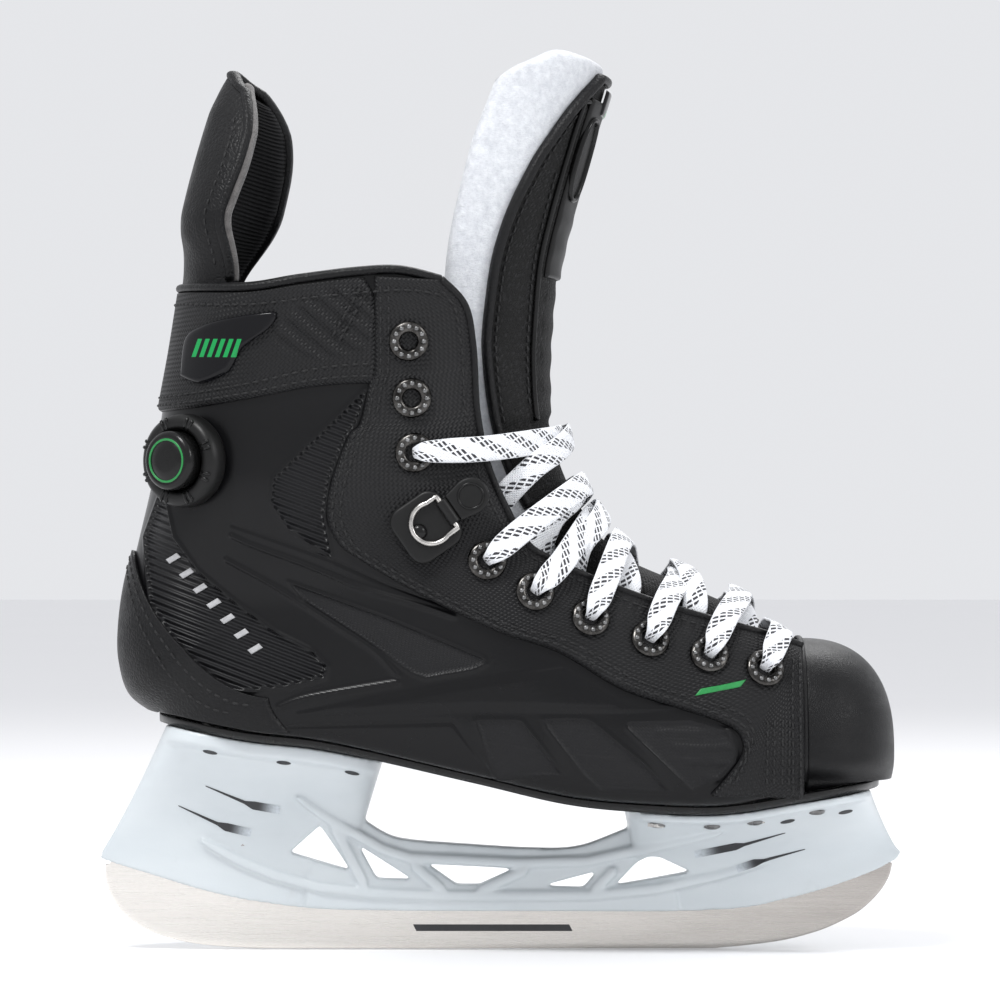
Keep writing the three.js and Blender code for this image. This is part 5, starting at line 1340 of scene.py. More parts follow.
def tongue_cover():
    share, r = np.meshgrid(np.linspace(-1, 1, 150), np.linspace(0, 1, 420))
    t = mix(TONGUE_START, COVER_TOP, r)
    psi = share * wing_half(t)
    edge = dome((1 - np.abs(share)) * 40 / 1.6, 2) * dome((1 - r) * 230 / 1.6, 2)
    insert = smooth((INSERT_HALF - np.abs(psi)) / deg(3)) * smooth((t - INSERT_RANGE[0]) / 0.012)
    insert = insert * smooth((INSERT_RANGE[1] - t) / 0.01)
    ribs = 0.5 + 0.5 * np.cos((t - INSERT_RANGE[0]) * RIDGE_POINTS.length / FRONT_RIB_PITCH * 2 * math.pi)
    zone = smooth((deg(27) - np.abs(psi)) / deg(4)) * smooth((t - 0.52) / 0.02) * smooth((0.80 - t) / 0.02)
    height = insert * 0.9 + zone * ribs * 0.4
    # A crease crosses the tongue where it flexes.
    height = height - 0.9 * np.exp(-(((t - FLEX_SHARE) / 0.008) ** 2)) * 0.6
    outer = tongue_point(t, psi, 1.0 + (0.4 - 1.0) * edge - height)
    inner = tongue_point(t, psi, 1.0 + (2.2 - 1.0) * edge)
    masks = {"panel": insert}
    cover = skin("tongue_cover", outer, inner, M["tongue"], body=None, masks=masks)
    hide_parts("tongue_cover_lower", "tongue_cover_upper")
    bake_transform(cover)


def tongue_path(t, psi, offset):
    """A path on the tongue as [point, outward normal] rows."""
    at = tongue_point(t, psi, offset)
    out = unit(tongue_point(t, psi, offset - 1.0) - at)
    return np.hstack([at, out])


def tongue_trim():
    start, end = INSERT_RANGE
    t = np.linspace(start, end, 160)
    round_t = end + 0.006 * np.sin(np.linspace(0, math.pi, 40))
    round_psi = np.linspace(-INSERT_HALF, INSERT_HALF, 40)
    line = np.vstack([
        tongue_path(t, np.full_like(t, -INSERT_HALF), -0.4),
        tongue_path(round_t, round_psi, -0.4),
        tongue_path(t[::-1], np.full_like(t, INSERT_HALF), -0.4),
    ])
    line = resample(line, 2.0)
    cord = flat_section(2.0, 2.2, 12, 2)
    piping = tube("tongue_piping", line[:, :3], line[:, 3:], cord, M["gloss_rubber"], None)
    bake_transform(piping)
    end_half = float(wing_half(COVER_TOP))
    rim_psi = np.linspace(-end_half, end_half, 40)
    rim = tongue_path(np.full_like(rim_psi, COVER_TOP), rim_psi, 0.6)
    side_t = np.linspace(0.40, COVER_TOP, 200)
    sides = [tongue_path(side_t, s * wing_half(side_t), 0.6) for s in (-1, 1)]
    loop = resample(np.vstack([sides[0], rim, sides[1][::-1]]), 1.8)
    roll = flat_section(3.4, 4.4, 14, 2.4)
    binding = tube("tongue_binding", loop[:, :3], loop[:, 3:], roll, M["leather"], None)
    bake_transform(binding)
    rows = []
    for s in (-1, 1):
        run = np.linspace(0.52, 0.84, 200)
        rows.append(tongue_path(run, np.full_like(run, s * (INSERT_HALF + deg(4.5))), -0.1))
        run = np.linspace(0.50, 0.96, 200)
        rows.append(tongue_path(run, s * (wing_half(run) - deg(5)), -0.1))
    stitch_rows("tongue_stitches", rows, body="tongue_top")


OVAL = {"t": 0.868, "half_t": 0.058, "half_psi": deg(8), "psi": -deg(20)}


def tongue_details():
    """Shin guard ribs, the raised oval ring and the badge at the tip."""
    a = np.linspace(0, 2 * math.pi, 90, endpoint=False)
    ring = tongue_path(
        OVAL["t"] + OVAL["half_t"] * spow(np.sin(a), 0.8),
        OVAL["psi"] + OVAL["half_psi"] * spow(np.cos(a), 0.8),
        -1.5,
    )
    tube("tongue_oval_ring", ring[:, :3], ring[:, 3:], flat_section(2.0, 3.4, 12, 2.4), M["gloss_rubber"],
         "tongue_top", True)
    guard_psi, r = np.meshgrid(np.linspace(-deg(29), deg(29), 60), np.linspace(0, 1, 220))
    t = mix(0.697, 0.953, r)
    side = 1 - np.abs(guard_psi) / deg(29)
    edge = dome(side * 18 / 1.4, 2) * dome((1 - r) * 65 / 1.4, 2) * dome(r * 65 / 1.4, 2)
    rib = 0.5 + 0.5 * np.cos(t * RIDGE_POINTS.length / FRONT_RIB_PITCH * 2 * math.pi)
    ribbed = smooth((0.8 - t) / 0.02)
    outer = tongue_point(t, guard_psi, -1.0 - 0.9 * edge - 0.3 * rib * ribbed * edge)
    inner = tongue_point(t, guard_psi, np.full_like(t, -0.6))
    guard = skin("tongue_shin_guard_ribbed", outer, inner, M["rubber"], "tongue_top")
    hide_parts("tongue_shin_guard")
    psi, r = np.meshgrid(np.linspace(-deg(15), deg(15), 40), np.linspace(0, 1, 40))
    t = mix(0.935, 0.972, r)
    ends = dome((1 - r) * 10 / 1.2, 2) * dome(r * 10 / 1.2, 2)
    edge = dome((1 - np.abs(psi) / deg(15)) * 9 / 1.2, 2) * ends
    face = tongue_point(t, psi, -1.6 - 1.0 * edge)
    back = tongue_point(t, psi, np.full_like(t, -1.5))
    tip = skin("tongue_tip_badge", face, back, M["badge"], "tongue_top")


# ---------------------------------------------------------------- tendon guard
REACH_TABLE = (0, 0.3, 0.6, 0.8, 1.0), (19, 24, 27, 23, 6)


def guard_point(t, psi, offset):
    t, psi = np.broadcast_arrays(np.asarray(t, float), np.asarray(psi, float))
    c = np.clip(t, 0, 1)
    p = GUARD_BACK.at(c)
    half = 30 * (1 - 0.12 * c) * (1 - np.maximum(c, 0) ** 3.2 * 0.9)
    reach = sum(np.interp(c + shift, *REACH_TABLE) for shift in (-0.1, -0.05, 0, 0.05, 0.1)) / 5
    e = 2 / 2.3
    depth = offset + (reach - offset) * (1 - np.abs(np.cos(psi)) ** e)
    side = np.maximum(half - offset, 0.6) * spow(np.sin(psi), e)
    twist = deg(20) * smooth(c / 0.35)
    x = p[..., 0] + depth * np.cos(twist) + side * np.sin(twist)
    y = side * np.cos(twist) - depth * np.sin(twist)
    return np.stack([x, y, p[..., 1]], -1)


def tendon_guard():
    psi, r = np.meshgrid(np.linspace(-deg(86), deg(86), 130), np.linspace(0, 1, 150))
    top = 1 - 0.1 * np.abs(psi / deg(86)) ** 3
    t = mix(0.0, top, r)
    edge = dome((1 - np.abs(psi) / deg(86)) * 40 / 1.4, 2) * dome((1 - r) * 75 / 1.4, 2)
    middle = smooth((r - 0.15) / 0.1) * smooth((0.9 - r) / 0.1)
    padding = 0.5 * smooth((deg(60) - np.abs(psi)) / deg(20)) * middle
    outer = guard_point(t, psi, 1.1 + (-0.2 - 1.1) * edge - padding)
    inner = guard_point(t, psi, 1.1 + (2.3 - 1.1) * edge)
    cover = skin("tendon_guard_cover", outer, inner, M["leather"], None)
    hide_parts("tendon_guard")
    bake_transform(cover)
    pad_psi, r = np.meshgrid(np.linspace(-deg(86), deg(86), 110), np.linspace(0, 1, 130))
    t = mix(0.012, 0.94 - 0.1 * np.abs(pad_psi / deg(86)) ** 3, r)
    edge = dome((1 - np.abs(pad_psi) / deg(86)) * 36 / 3, 2) * dome((1 - r) * 70 / 3, 2)
    base = guard_point(t, pad_psi, 4.0)
    lumps = soft_noise(base, 7.0, 5) * 0.3
    outer = guard_point(t, pad_psi, 4.4 + (2.5 - 4.4) * edge)
    inner = guard_point(t, pad_psi, 4.4 + (6.6 - 4.4) * edge + lumps)
    pad = skin("tendon_guard_felt", outer, inner, M["ribbed"], None)
    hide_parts("tendon_guard_pad")
    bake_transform(pad)
    run = np.linspace(0.02, 0.93, 100)
    roll = guard_point(run, np.full_like(run, -deg(87)), 3.6)
    roll_up = unit(guard_point(run, np.full_like(run, -deg(87)), 2.6) - roll)
    wide = 1 - 0.45 * smooth((run - 0.45) / 0.4)
    thick = flat_section(5.2, 4.6, 16, 2.2)
    edge_roll = tube("tendon_guard_felt_edge", roll, roll_up, thick, M["grey_felt"], None, widths=wide)
    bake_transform(edge_roll)
    psi = np.linspace(-deg(86), deg(86), 90)
    ends = 1 - 0.1 * np.abs(psi / deg(86)) ** 3
    rim = guard_point(ends, psi, 1.2)
    out = unit(guard_point(ends, psi, 0.2) - rim)
    rows = [np.hstack([rim, out])]
    for s in (-1, 1):
        run = np.linspace(0.02, 0.9, 90)
        edge_psi = np.full_like(run, s * deg(86))
        at = guard_point(run, edge_psi, 1.2)
        rows.append(np.hstack([at, unit(guard_point(run, edge_psi, 0.2) - at)]))
    loop = resample(np.vstack([rows[1], rows[0], rows[2][::-1]]), 1.8)
    hem = flat_section(3.4, 4.6, 14, 2.4)
    binding = tube("tendon_guard_binding", loop[:, :3], loop[:, 3:], hem, M["leather"], None)
    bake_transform(binding)
    inset_rows = []
    for psi in (-deg(74), deg(74)):
        run = np.linspace(0.08, 0.78, 120)
        at = guard_point(run, np.full_like(run, psi), -0.25)
        inset_rows.append(np.hstack([at, unit(guard_point(run, np.full_like(run, psi), -1.25) - at)]))
    stitch_rows("tendon_guard_stitches", inset_rows, body="tendon_guard")


# ---------------------------------------------------------------- eyelets
EYELETS = [
    (-32.3, 216.6), (-31.3, 196.6), (-30.2, 177.2), (-4.9, 138.9), (11.6, 127.8), (31.1, 118.2),
    (52, 110.4), (73.3, 104.8), (92.4, 99.9),
]
EYELET_PROFILE = [
    [3.0, -4.3], [3.9, -4.3], [3.9, 0.2], [6.6, 0.2], [7.0, 0.6], [6.9, 1.1], [6.3, 1.6],
    [5.4, 1.9], [4.4, 1.9], [3.6, 1.6], [3.1, 1.0], [3.0, 0.2],
]
EYELET_BASE = 2.9
BEADS = 12


def eyelets():
    for s_name, s in SIDES:
        for i, (x, z) in enumerate(EYELETS):
            place, axis = side_at(x, z, s, EYELET_BASE)
            name = f"eyelet_ring_{s_name}_{i + 1}"
            ring = turned(name, EYELET_PROFILE, 48, place, axis, M["gunmetal"], wrap=True)
            beads = bead_ring(f"eyelet_beads_{s_name}_{i + 1}", place + axis * 1.95, axis, 5.2, 0.95)
            beads.parent = ring
            beads.matrix_parent_inverse = ring.matrix_world.inverted()
            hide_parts(f"eyelet_{s_name}_{i + 1}")


def bead_ring(name, place, axis, radius, bead):
    """Small raised dots round an eyelet's rim."""
    z = unit(axis)
    x = unit(np.cross((0, 0, 1.0), z))
    y = np.cross(z, x)
    turns = np.linspace(0, 2 * math.pi, BEADS, endpoint=False)
    rise, round_about = np.linspace(-math.pi / 2, math.pi / 2, 7), np.linspace(0, 2 * math.pi, 10, False)
    lat, lon = np.meshgrid(rise, round_about, indexing="ij")
    ball = np.stack([np.cos(lat) * np.cos(lon), np.cos(lat) * np.sin(lon), np.sin(lat) * 0.7], -1) * bead
    points, faces = [], []
    cell = ball.shape[0] * ball.shape[1]
    for k, a in enumerate(turns):
        centre = place + (x * math.cos(a) + y * math.sin(a)) * radius
        points.append((centre + ball @ np.stack([x, y, z])).reshape(-1, 3))
        faces.append(grid_faces(ball.shape[0], ball.shape[1], k * cell, True, True))
    mesh = make_mesh(name, np.vstack(points), np.vstack(faces))
    obj = bpy.data.objects.new(name, mesh)
    bpy.context.collection.objects.link(obj)
    mesh.materials.append(M["nickel_dark"])
    mesh.polygons.foreach_set("use_smooth", [True] * len(mesh.polygons))
    return obj


# ---------------------------------------------------------------- lace
LACE_OUT, LACE_IN = 7.2, -6.1
EDGE_OVER, EDGE_UNDER = 6.6, -7.5
LOW_LIFT, HIGH_LIFT = 3.0, 6.0
LACED_FROM = 2
CROSSINGS = [(18, 182), (26, 164), (32, 154), (41, 143.5), (63, 132.5), (84, 123), (100, 114)]
TAIL_ROUTE = [
    (-27, 172), (-40, 158), (-44, 136), (-42, 110), (-34, 88), (-22, 78), (4, 71), (36, 64),
    (66, 62.5), (84, 63),
]
TAIL_INSET = -13.9
LACE_WIDTH, LACE_THICK = 9.0, 1.7


def with_normal(at, n, fold=1.0):
    """A route row: place, the lace's upward direction, and its share of full width."""
    return np.concatenate([at, n, [fold]])


def edge_pass(place, s, offset):
    d = np.hypot(*(THROAT_EDGE.points - np.array(place)).T)
    x, z = THROAT_EDGE.points[np.argmin(d)]
    return with_normal(*side_at(x - 1.0, z - 1.0, s, offset))


def over_tongue(t, psi, lift):
    at = tongue_point(t, psi, -lift)
    out = unit(tongue_point(t, psi, -lift - 1.0) - at)
    return with_normal(at, out)


def landing(index, s, source):
    x, z = EYELETS[index]
    middle = ((x + source[0]) / 2, (z + source[1]) / 2)
    at, n = side_at(x, z, s, 0.0)
    way = unit(np.array([source[0] - x, 0.0, source[1] - z]))
    start = edge_pass(middle, s, EDGE_OVER)
    half = 0.45 * start[:3] + 0.55 * (at + n * LACE_OUT)
    return [
        start,
        with_normal(half, unit(start[3:6] + n), 0.95),
        with_normal(at + n * (LACE_OUT - 0.4) + way * 2.6, n, 0.75),
        with_normal(at + n * (LACE_OUT - 2.6) + way * 0.4, unit(n * 0.6 - way), 0.5),
        with_normal(at, -way, 0.42),
        with_normal(at + n * LACE_IN, -way, 0.5),
    ]


def strand(s, index, lift):
    here, nxt = EYELETS[index], CROSSINGS[index - 1 - LACED_FROM]
    low, high = (share_near(TONGUE_RIDGE, CROSSINGS[i - LACED_FROM]) for i in (index, index - 1))
    leaving = mix(low, high, 0.6)
    middle = ((here[0] + nxt[0]) / 2, (here[1] + nxt[1]) / 2)
    under = edge_pass(middle, s, EDGE_UNDER - (4.2 if index > 7 else 0))
    return [
        under,
        over_tongue(leaving, s * deg(60), lift + 0.5),
        over_tongue(mix(leaving, high, 0.5), s * deg(32), lift),
        over_tongue(high, 0.0, lift),
        over_tongue(high, -s * deg(30), lift + 1),
        *landing(index - 1, -s, nxt),
    ]


def lace_route():
    last = len(EYELETS) - 1

    def half(s, lift):
        rows, here = [], s
        for i in range(last, LACED_FROM, -1):
            rows += strand(here, i, lift)
            here = -here
        return rows

    def tail(s):
        return [with_normal(*side_at(x, z, s, TAIL_INSET), 0.6) for x, z in TAIL_ROUTE]

    bar = share_near(TONGUE_RIDGE, CROSSINGS[-1])
    return np.array([
        *tail(-1)[::-1],
        *half(-1, LOW_LIFT)[::-1],
        *landing(last, -1, CROSSINGS[-1])[::-1],
        over_tongue(bar, -deg(25), LOW_LIFT),
        over_tongue(bar, deg(25), LOW_LIFT),
        *landing(last, 1, CROSSINGS[-1]),
        *half(1, HIGH_LIFT),
        *tail(1),
    ])


def lace():
    rows = rounded_path(lace_route(), 10)
    rows = resample(rows, 1.1)
    path, ups, fold = rows[:, :3], rows[:, 3:6], rows[:, 6]
    # The up direction is carried along the lace, so that it never flips over.
    t = unit(np.gradient(path, axis=0))
    carried = np.empty_like(ups)
    carried[0] = unit(ups[0])
    for i in range(1, len(path)):
        want = unit(ups[i])
        if np.dot(want, carried[i - 1]) < -0.2:
            want = -want
        side = unit(carried[i - 1] * 0.75 + want * 0.25)
        carried[i] = unit(side - t[i] * np.dot(side, t[i]))
    section = flat_section(LACE_WIDTH, LACE_THICK, 20, 3.0)
    rings = sweep_points(path, carried, section, fold)
    along = np.concatenate([[0], np.cumsum(np.linalg.norm(np.diff(path, axis=0), axis=1))])
    uv = np.stack(np.broadcast_arrays(along[:, None], section[None, :, 0]), -1).reshape(-1, 2)
    mesh = tube_mesh("lace_flat", rings, uvs=uv)
    obj = add_object("lace_flat", mesh, M["lace"])
    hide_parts("lace")
    print("lace length", round(float(along[-1]), 1))


# ---------------------------------------------------------------- pump and release valve
PUMP_AT = np.array([-108, -35.302, 174.5])
PUMP_AXIS = np.array([-0.5878, -0.809, 0.0])


def pump():
    base = turned("pump_bezel", [
        [10.9, 2.9], [10.9, 8.6], [11.5, 9.6], [12.6, 10.0], [14.6, 9.7], [15.9, 8.6], [16.5, 6.6],
        [16.6, 3.4], [15.5, 1.2], [11.5, 1.2], [0.4, 1.4], [0.4, 2.7], [10.6, 2.8],
    ], 96, PUMP_AT, PUMP_AXIS, M["rubber"], wrap=True)
    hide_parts("pump_base")
    z = unit(PUMP_AXIS)
    x = unit(np.cross((0, 0, 1.0), z))
    y = np.cross(z, x)
    # Double raised bars cross the bezel at eight places.
    places, ways, ups = [], [], []
    for k in range(8):
        for turn in (-0.075, 0.075):
            a = k * math.pi / 4 + math.pi / 8 + turn
            spoke = x * math.cos(a) + y * math.sin(a)
            places.append(PUMP_AT + spoke * 13.7 + z * 9.75)
            ways.append(spoke)
            ups.append(z)
    capsules("pump_bezel_bars", np.array(places), np.array(ways), np.array(ups), 4.6, 0.75, M["gloss_rubber"])
    button = turned("pump_button_dome", [
        [0.3, 7.2], [10.2, 7.2], [10.4, 8.0], [10.4, 13.4], [10.0, 14.5], [9.0, 15.1], [7.9, 15.3],
        [7.6, 14.9], [7.2, 14.9], [6.9, 15.3], [4.0, 15.7], [0.3, 15.8],
    ], 96, PUMP_AT, PUMP_AXIS, M["gloss_rubber"], "pump_button")
    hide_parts("pump_button")
    a = np.linspace(0, 2 * math.pi, 96, endpoint=False)
    circle = PUMP_AT + (np.cos(a)[:, None] * x + np.sin(a)[:, None] * y) * 7.4 + z * 15.15
    ups = np.repeat(z[None], len(a), 0)
    wire = flat_section(0.9, 0.6, 8, 2.2)
    ring = tube("pump_green_ring", circle, ups, wire, M["green"], "pump_button", True)


RELEASE_O = np.array([-24, -42.579, 152.5])
RELEASE_X = np.array([0.8204, 0.0424, 0.5702])
RELEASE_Y = np.array([-0.5708, 0.0023, 0.8211])
RELEASE_Z = np.array([0.0335, -0.9991, 0.0261])


def release_point(x, y, z):
    flat = RELEASE_O + np.multiply.outer(x, RELEASE_X) + np.multiply.outer(y, RELEASE_Y)
    return flat + np.multiply.outer(z, RELEASE_Z)


def slab(name, outline, low, high, edge, material, body):
    """A flat moulded piece in the release valve's frame, with rounded edges."""
    loop = Line([*outline, outline[0]], False).thinned(121)[:-1]
    c = loop.mean(0)
    shares = np.array([0.0, 0.5, 0.8, 0.9, 0.96, 1.0])
    rings = []
    reach = np.linalg.norm(loop - c, axis=-1)
    for q in shares:
        p = c + (loop - c) * q
        z = high - edge + edge * dome((1 - q) * reach / edge, 2)
        rings.append(release_point(p[:, 0], p[:, 1], 0) + z[:, None] * RELEASE_Z)
    for q in shares[::-1]:
        p = c + (loop - c) * q
        z = low + edge - edge * dome((1 - q) * reach / edge, 2)
        rings.append(release_point(p[:, 0], p[:, 1], 0) + z[:, None] * RELEASE_Z)
    rings = np.array(rings)
    faces = [list(f) for f in grid_faces(len(rings), len(loop), 0, True, True)]
    mesh = make_mesh(name, rings.reshape(-1, 3), faces)
    return add_object(name, mesh, material, body)


def rounded_outline(half_x, half_y, radius, centre=(0, 0), steps=8):
    points = []
    for k, (sx, sy) in enumerate(((1, 1), (-1, 1), (-1, -1), (1, -1))):
        for i in range(steps + 1):
            a = (k + i / steps) * math.pi / 2
            points.append((
                centre[0] + sx * (half_x - radius) + radius * math.cos(a),
                centre[1] + sy * (half_y - radius) + radius * math.sin(a),
            ))
    return points


def release():
    body = rounded_outline(10.5, 11, 5.5, (-2.5, 0))
    housing = slab("release_housing_moulded", body, 3.0, 6.2, 1.0, M["rubber"], "boot")
    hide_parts("release_housing")
    valve = turned("release_valve_ball", [
        [0.2, 4.4], [2.6, 4.4], [2.9, 5.6], [2.8, 6.8], [2.2, 7.7], [1.2, 8.2], [0.2, 8.3],
    ], 40, RELEASE_O + RELEASE_X * -5.5, RELEASE_Z, M["gloss_rubber"])
    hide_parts("release_valve")
    a = np.linspace(0, 2 * math.pi, 72, endpoint=False)
    tab_outline = [(7.3 + 1.6, -5.2), (15.5, -6.5), *[
        (16.7 + 6.3 * math.cos(k), 6.5 * math.sin(k)) for k in np.linspace(-1.4, 1.4, 20)
    ], (15.5, 6.5), (7.3 + 1.6, 5.2)]
    tab = slab("release_tab_rubber", tab_outline, 6.4, 8.7, 0.8, M["rubber"], "release_tab")
    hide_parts("release_tab")
    disc = release_point(16.4 + 4.4 * np.cos(a), 4.4 * np.sin(a), np.full_like(a, 8.7))
    ups = np.repeat(RELEASE_Z[None], len(a), 0)
    bead = flat_section(0.9, 0.9, 8, 2)
    tube("release_tab_circle", disc, ups, bead, M["gloss_rubber"], "release_tab", True)
    barrel = np.linspace(-4.6, 4.6, 20)
    path = release_point(np.full_like(barrel, 6.9), barrel, np.full_like(barrel, 7.3))
    ups = np.repeat(RELEASE_Z[None], len(barrel), 0)
    tube("release_tab_barrel", path, ups, ring_section(2.2, 2.2, 20), M["rubber"], "release_tab")
    # The ring is a D: a straight bar in the tab's barrel and a round bow over the housing.
    bow = np.linspace(-math.pi / 2 - 0.35, math.pi / 2 + 0.35, 60)
    ring_x = np.concatenate([-0.2 - 7.2 * np.cos(bow), [6.5, 6.5]])
    ring_y = np.concatenate([7.2 * np.sin(bow), [6.7, -6.7]])
    ring_line = resample(np.stack([ring_x, ring_y], -1), 0.8)
    path = release_point(ring_line[:, 0], ring_line[:, 1], np.full(len(ring_line), 7.3))
    ups = np.repeat(RELEASE_Z[None], len(path), 0)
    ring = tube("release_ring_wire", path, ups, ring_section(0.9, 0.9, 14), M["nickel"], "release_ring", True)
    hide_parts("release_ring")


# ---------------------------------------------------------------- blade holder and runner
HOLDER_EDGE = Line([
    (-144, 34), (-142.5, 32), (-125, 26.5), (-105, 20.5), (-85, 16.5), (-58, 14), (7, 13.5),
    (77, 13.8), (103, 17.9), (124, 24), (140.5, 31), (144, 35.5),
])
WEB = 5.6
TOWERS = {
    "rear": {"top": (-119, -42), "foot": (-144, -58), "width": 54},
    "front": {"top": (44.5, 132), "foot": (52, 144), "width": 70},
}
BRIDGE_HALF = 4.3
BRIDGE_TOP = [
    (66, 40), (50, 45), (43, 42), (31, 37.2), (22.8, 35.8), (7, 36.1), (-30, 38.6), (-40, 40.2),
    (-56, 51), (-72, 46),
]
# Raised rails: the upper and the lower chord of the truss, then the bars between its windows.
RAILS = [
    [
        (-72.6, 55.2), (-65, 49.7), (-56, 43.7), (-42, 35.8), (-32, 32.6), (7, 30.8), (31, 31.4),
        (51, 35.8), (65, 39.8), (79, 43),
    ],
    [
        (-107, 39), (-94, 32), (-80, 26.2), (-64, 22), (-45, 20), (-26, 19.2), (7, 19), (33, 19.2),
        (57, 21.6), (78, 26.4), (96, 31.5),
    ],
    [(-60, 45.5), (-48, 22)],
    [(-31.5, 30.5), (-19.8, 20.5)],
    [(-8, 20.5), (10, 28.6)],
    [(33, 20), (41.5, 29)],
]
WINDOWS = [
    [(-75.5, 34.4), (-64.3, 44.5), (-53.5, 28)],
    [(-51, 37.4), (-31.1, 24.7), (-44.3, 25.2)],
    [(-26.5, 30.6), (7.7, 28.6), (-6.9, 23), (-15.5, 23)],
    [(14.3, 22.4), (35, 27.9), (30, 21.9)],
    [(41, 22.7), (49, 31), (53.1, 33.3), (57, 33.2), (68.8, 27.5)],
]
RUNNER_THICKNESS = 2.9
SLOT_ROOM = 0.25  # each side of the runner


def edge_z(x):
    return np.interp(x, HOLDER_EDGE.points[:, 0], HOLDER_EDGE.points[:, 1])


def flange_z(x):
    return sole_z(x) - 3.8


def tower(spec, cols=150, rows=110):
    k, r = np.meshgrid(np.linspace(0, 1, cols), np.linspace(0, 1, rows))
    k = mix(k, (1 - np.cos(k * math.pi)) / 2, 0.8)
    top_x = mix(spec["top"][0], spec["top"][1], k)
    x = mix(mix(spec["foot"][0], spec["foot"][1], k), top_x, r)
    z = mix(edge_z(x), flange_z(top_x), r)
    ends = dome(k / 0.22, 2.2) * dome((1 - k) / 0.22, 2.2)
    full = spec["width"] / 2 * mix(0.3, 1, ends)
    web = WEB / 2 * mix(0.55, 1, ends)
    lip = smooth((r - 0.89) / 0.05)
    flare = mix(0.86 * (np.minimum(r, 0.93) / 0.91) ** 2.4, 1.0, lip)
    y = mix(web, full, flare)
    shift = centre_y(x) * 0.5 * smooth(r)
    left, right = (np.stack([x, shift + s * y, z], -1) for s in (-1, 1))
    return skin("holder_tower", left, right, None, body=None, flip=True)


def side_prism(name, outline, half):
    """A closed prism through Y from a side-view outline."""
    loop = np.asarray(outline, float)
    n = len(loop)
    points = np.concatenate([np.stack([loop[:, 0], np.full(n, s * half), loop[:, 1]], -1) for s in (-1, 1)])
    faces = [list(range(n))[::-1], [n + k for k in range(n)]]
    faces += [[k, (k + 1) % n, n + (k + 1) % n, n + k] for k in range(n)]
    mesh = make_mesh(name, points, faces)
    obj = bpy.data.objects.new(name, mesh)
    bpy.context.collection.objects.link(obj)
    recalc(obj)
    return obj


def recalc(obj):
    bm = bmesh.new()
    bm.from_mesh(obj.data)
    bmesh.ops.recalc_face_normals(bm, faces=bm.faces)
    bm.to_mesh(obj.data)
    bm.free()


def cut(obj, other, operation):
    bool_mod = obj.modifiers.new("cut", "BOOLEAN")
    bool_mod.operation = operation
    bool_mod.solver = "EXACT"
    bool_mod.object = other
    apply_modifiers(obj)
    bpy.data.objects.remove(other)


def apply_modifiers(obj):
    bpy.context.view_layer.update()
    depsgraph = bpy.context.evaluated_depsgraph_get()
    mesh = bpy.data.meshes.new_from_object(obj.evaluated_get(depsgraph))
    obj.modifiers.clear()
    obj.data = mesh


def round_corners(outline, radius, steps=6):
    """A side-view outline with its corners rounded, and a curve kept where it is one."""
    p = np.asarray(outline, float)
    out = []
    for i in range(len(p)):
        a, b, c = p[i - 1], p[i], p[(i + 1) % len(p)]
        ra = min(radius, np.linalg.norm(a - b) * 0.4)
        rc = min(radius, np.linalg.norm(c - b) * 0.4)
        start, end = b + unit(a - b) * ra, b + unit(c - b) * rc
        for t in np.linspace(0, 1, steps):
            out.append((1 - t) ** 2 * start + 2 * t * (1 - t) * b + t * t * end)
    return out


def side_y(obj, x, z, s):
    """Where a line along Y first meets an object's side, in millimetres, or None."""
    hit, place, _, _ = obj.ray_cast(Vector((x, s * 80, z)) * MM, Vector((0, -s, 0)))
    return place.y / MM if hit and place.y * s > 0 else None


def projected(obj, line, s, lift):
    """Side-view points set on an object's side; misses take the height of their neighbours."""
    found = [side_y(obj, x, z, s) for x, z in line]
    known = [i for i, y in enumerate(found) if y is not None]
    y = np.interp(np.arange(len(line)), known, [found[i] for i in known])
    return np.stack([line[:, 0], y + s * lift, line[:, 1]], -1)


def add_rails(main):
    """Join a rounded rail for each chord and bar to the holder, on both sides."""
    bpy.context.view_layer.update()
    joined = bmesh.new()
    joined.from_mesh(main.data)
    for points in RAILS:
        line = resample(points, 1.5)
        for _, s in SIDES:
            path = projected(main, line, s, 0.2)
            for _ in range(6):
                path[1:-1, 1] = (path[:-2, 1] + 2 * path[1:-1, 1] + path[2:, 1]) / 4
            ups = np.tile([0.0, s, 0.0], (len(path), 1))
            ends = dome(np.linspace(0, 1, len(path)) * 8, 2) * dome(np.linspace(1, 0, len(path)) * 8, 2)
            rings = sweep_points(path, ups, flat_section(4.0, 3.4, 12, 2.6), 0.3 + 0.7 * ends)
            rail = tube_mesh("rail", rings)
            joined.from_mesh(rail)
            bpy.data.meshes.remove(rail)
    bmesh.ops.recalc_face_normals(joined, faces=joined.faces)
    joined.to_mesh(main.data)
    joined.free()


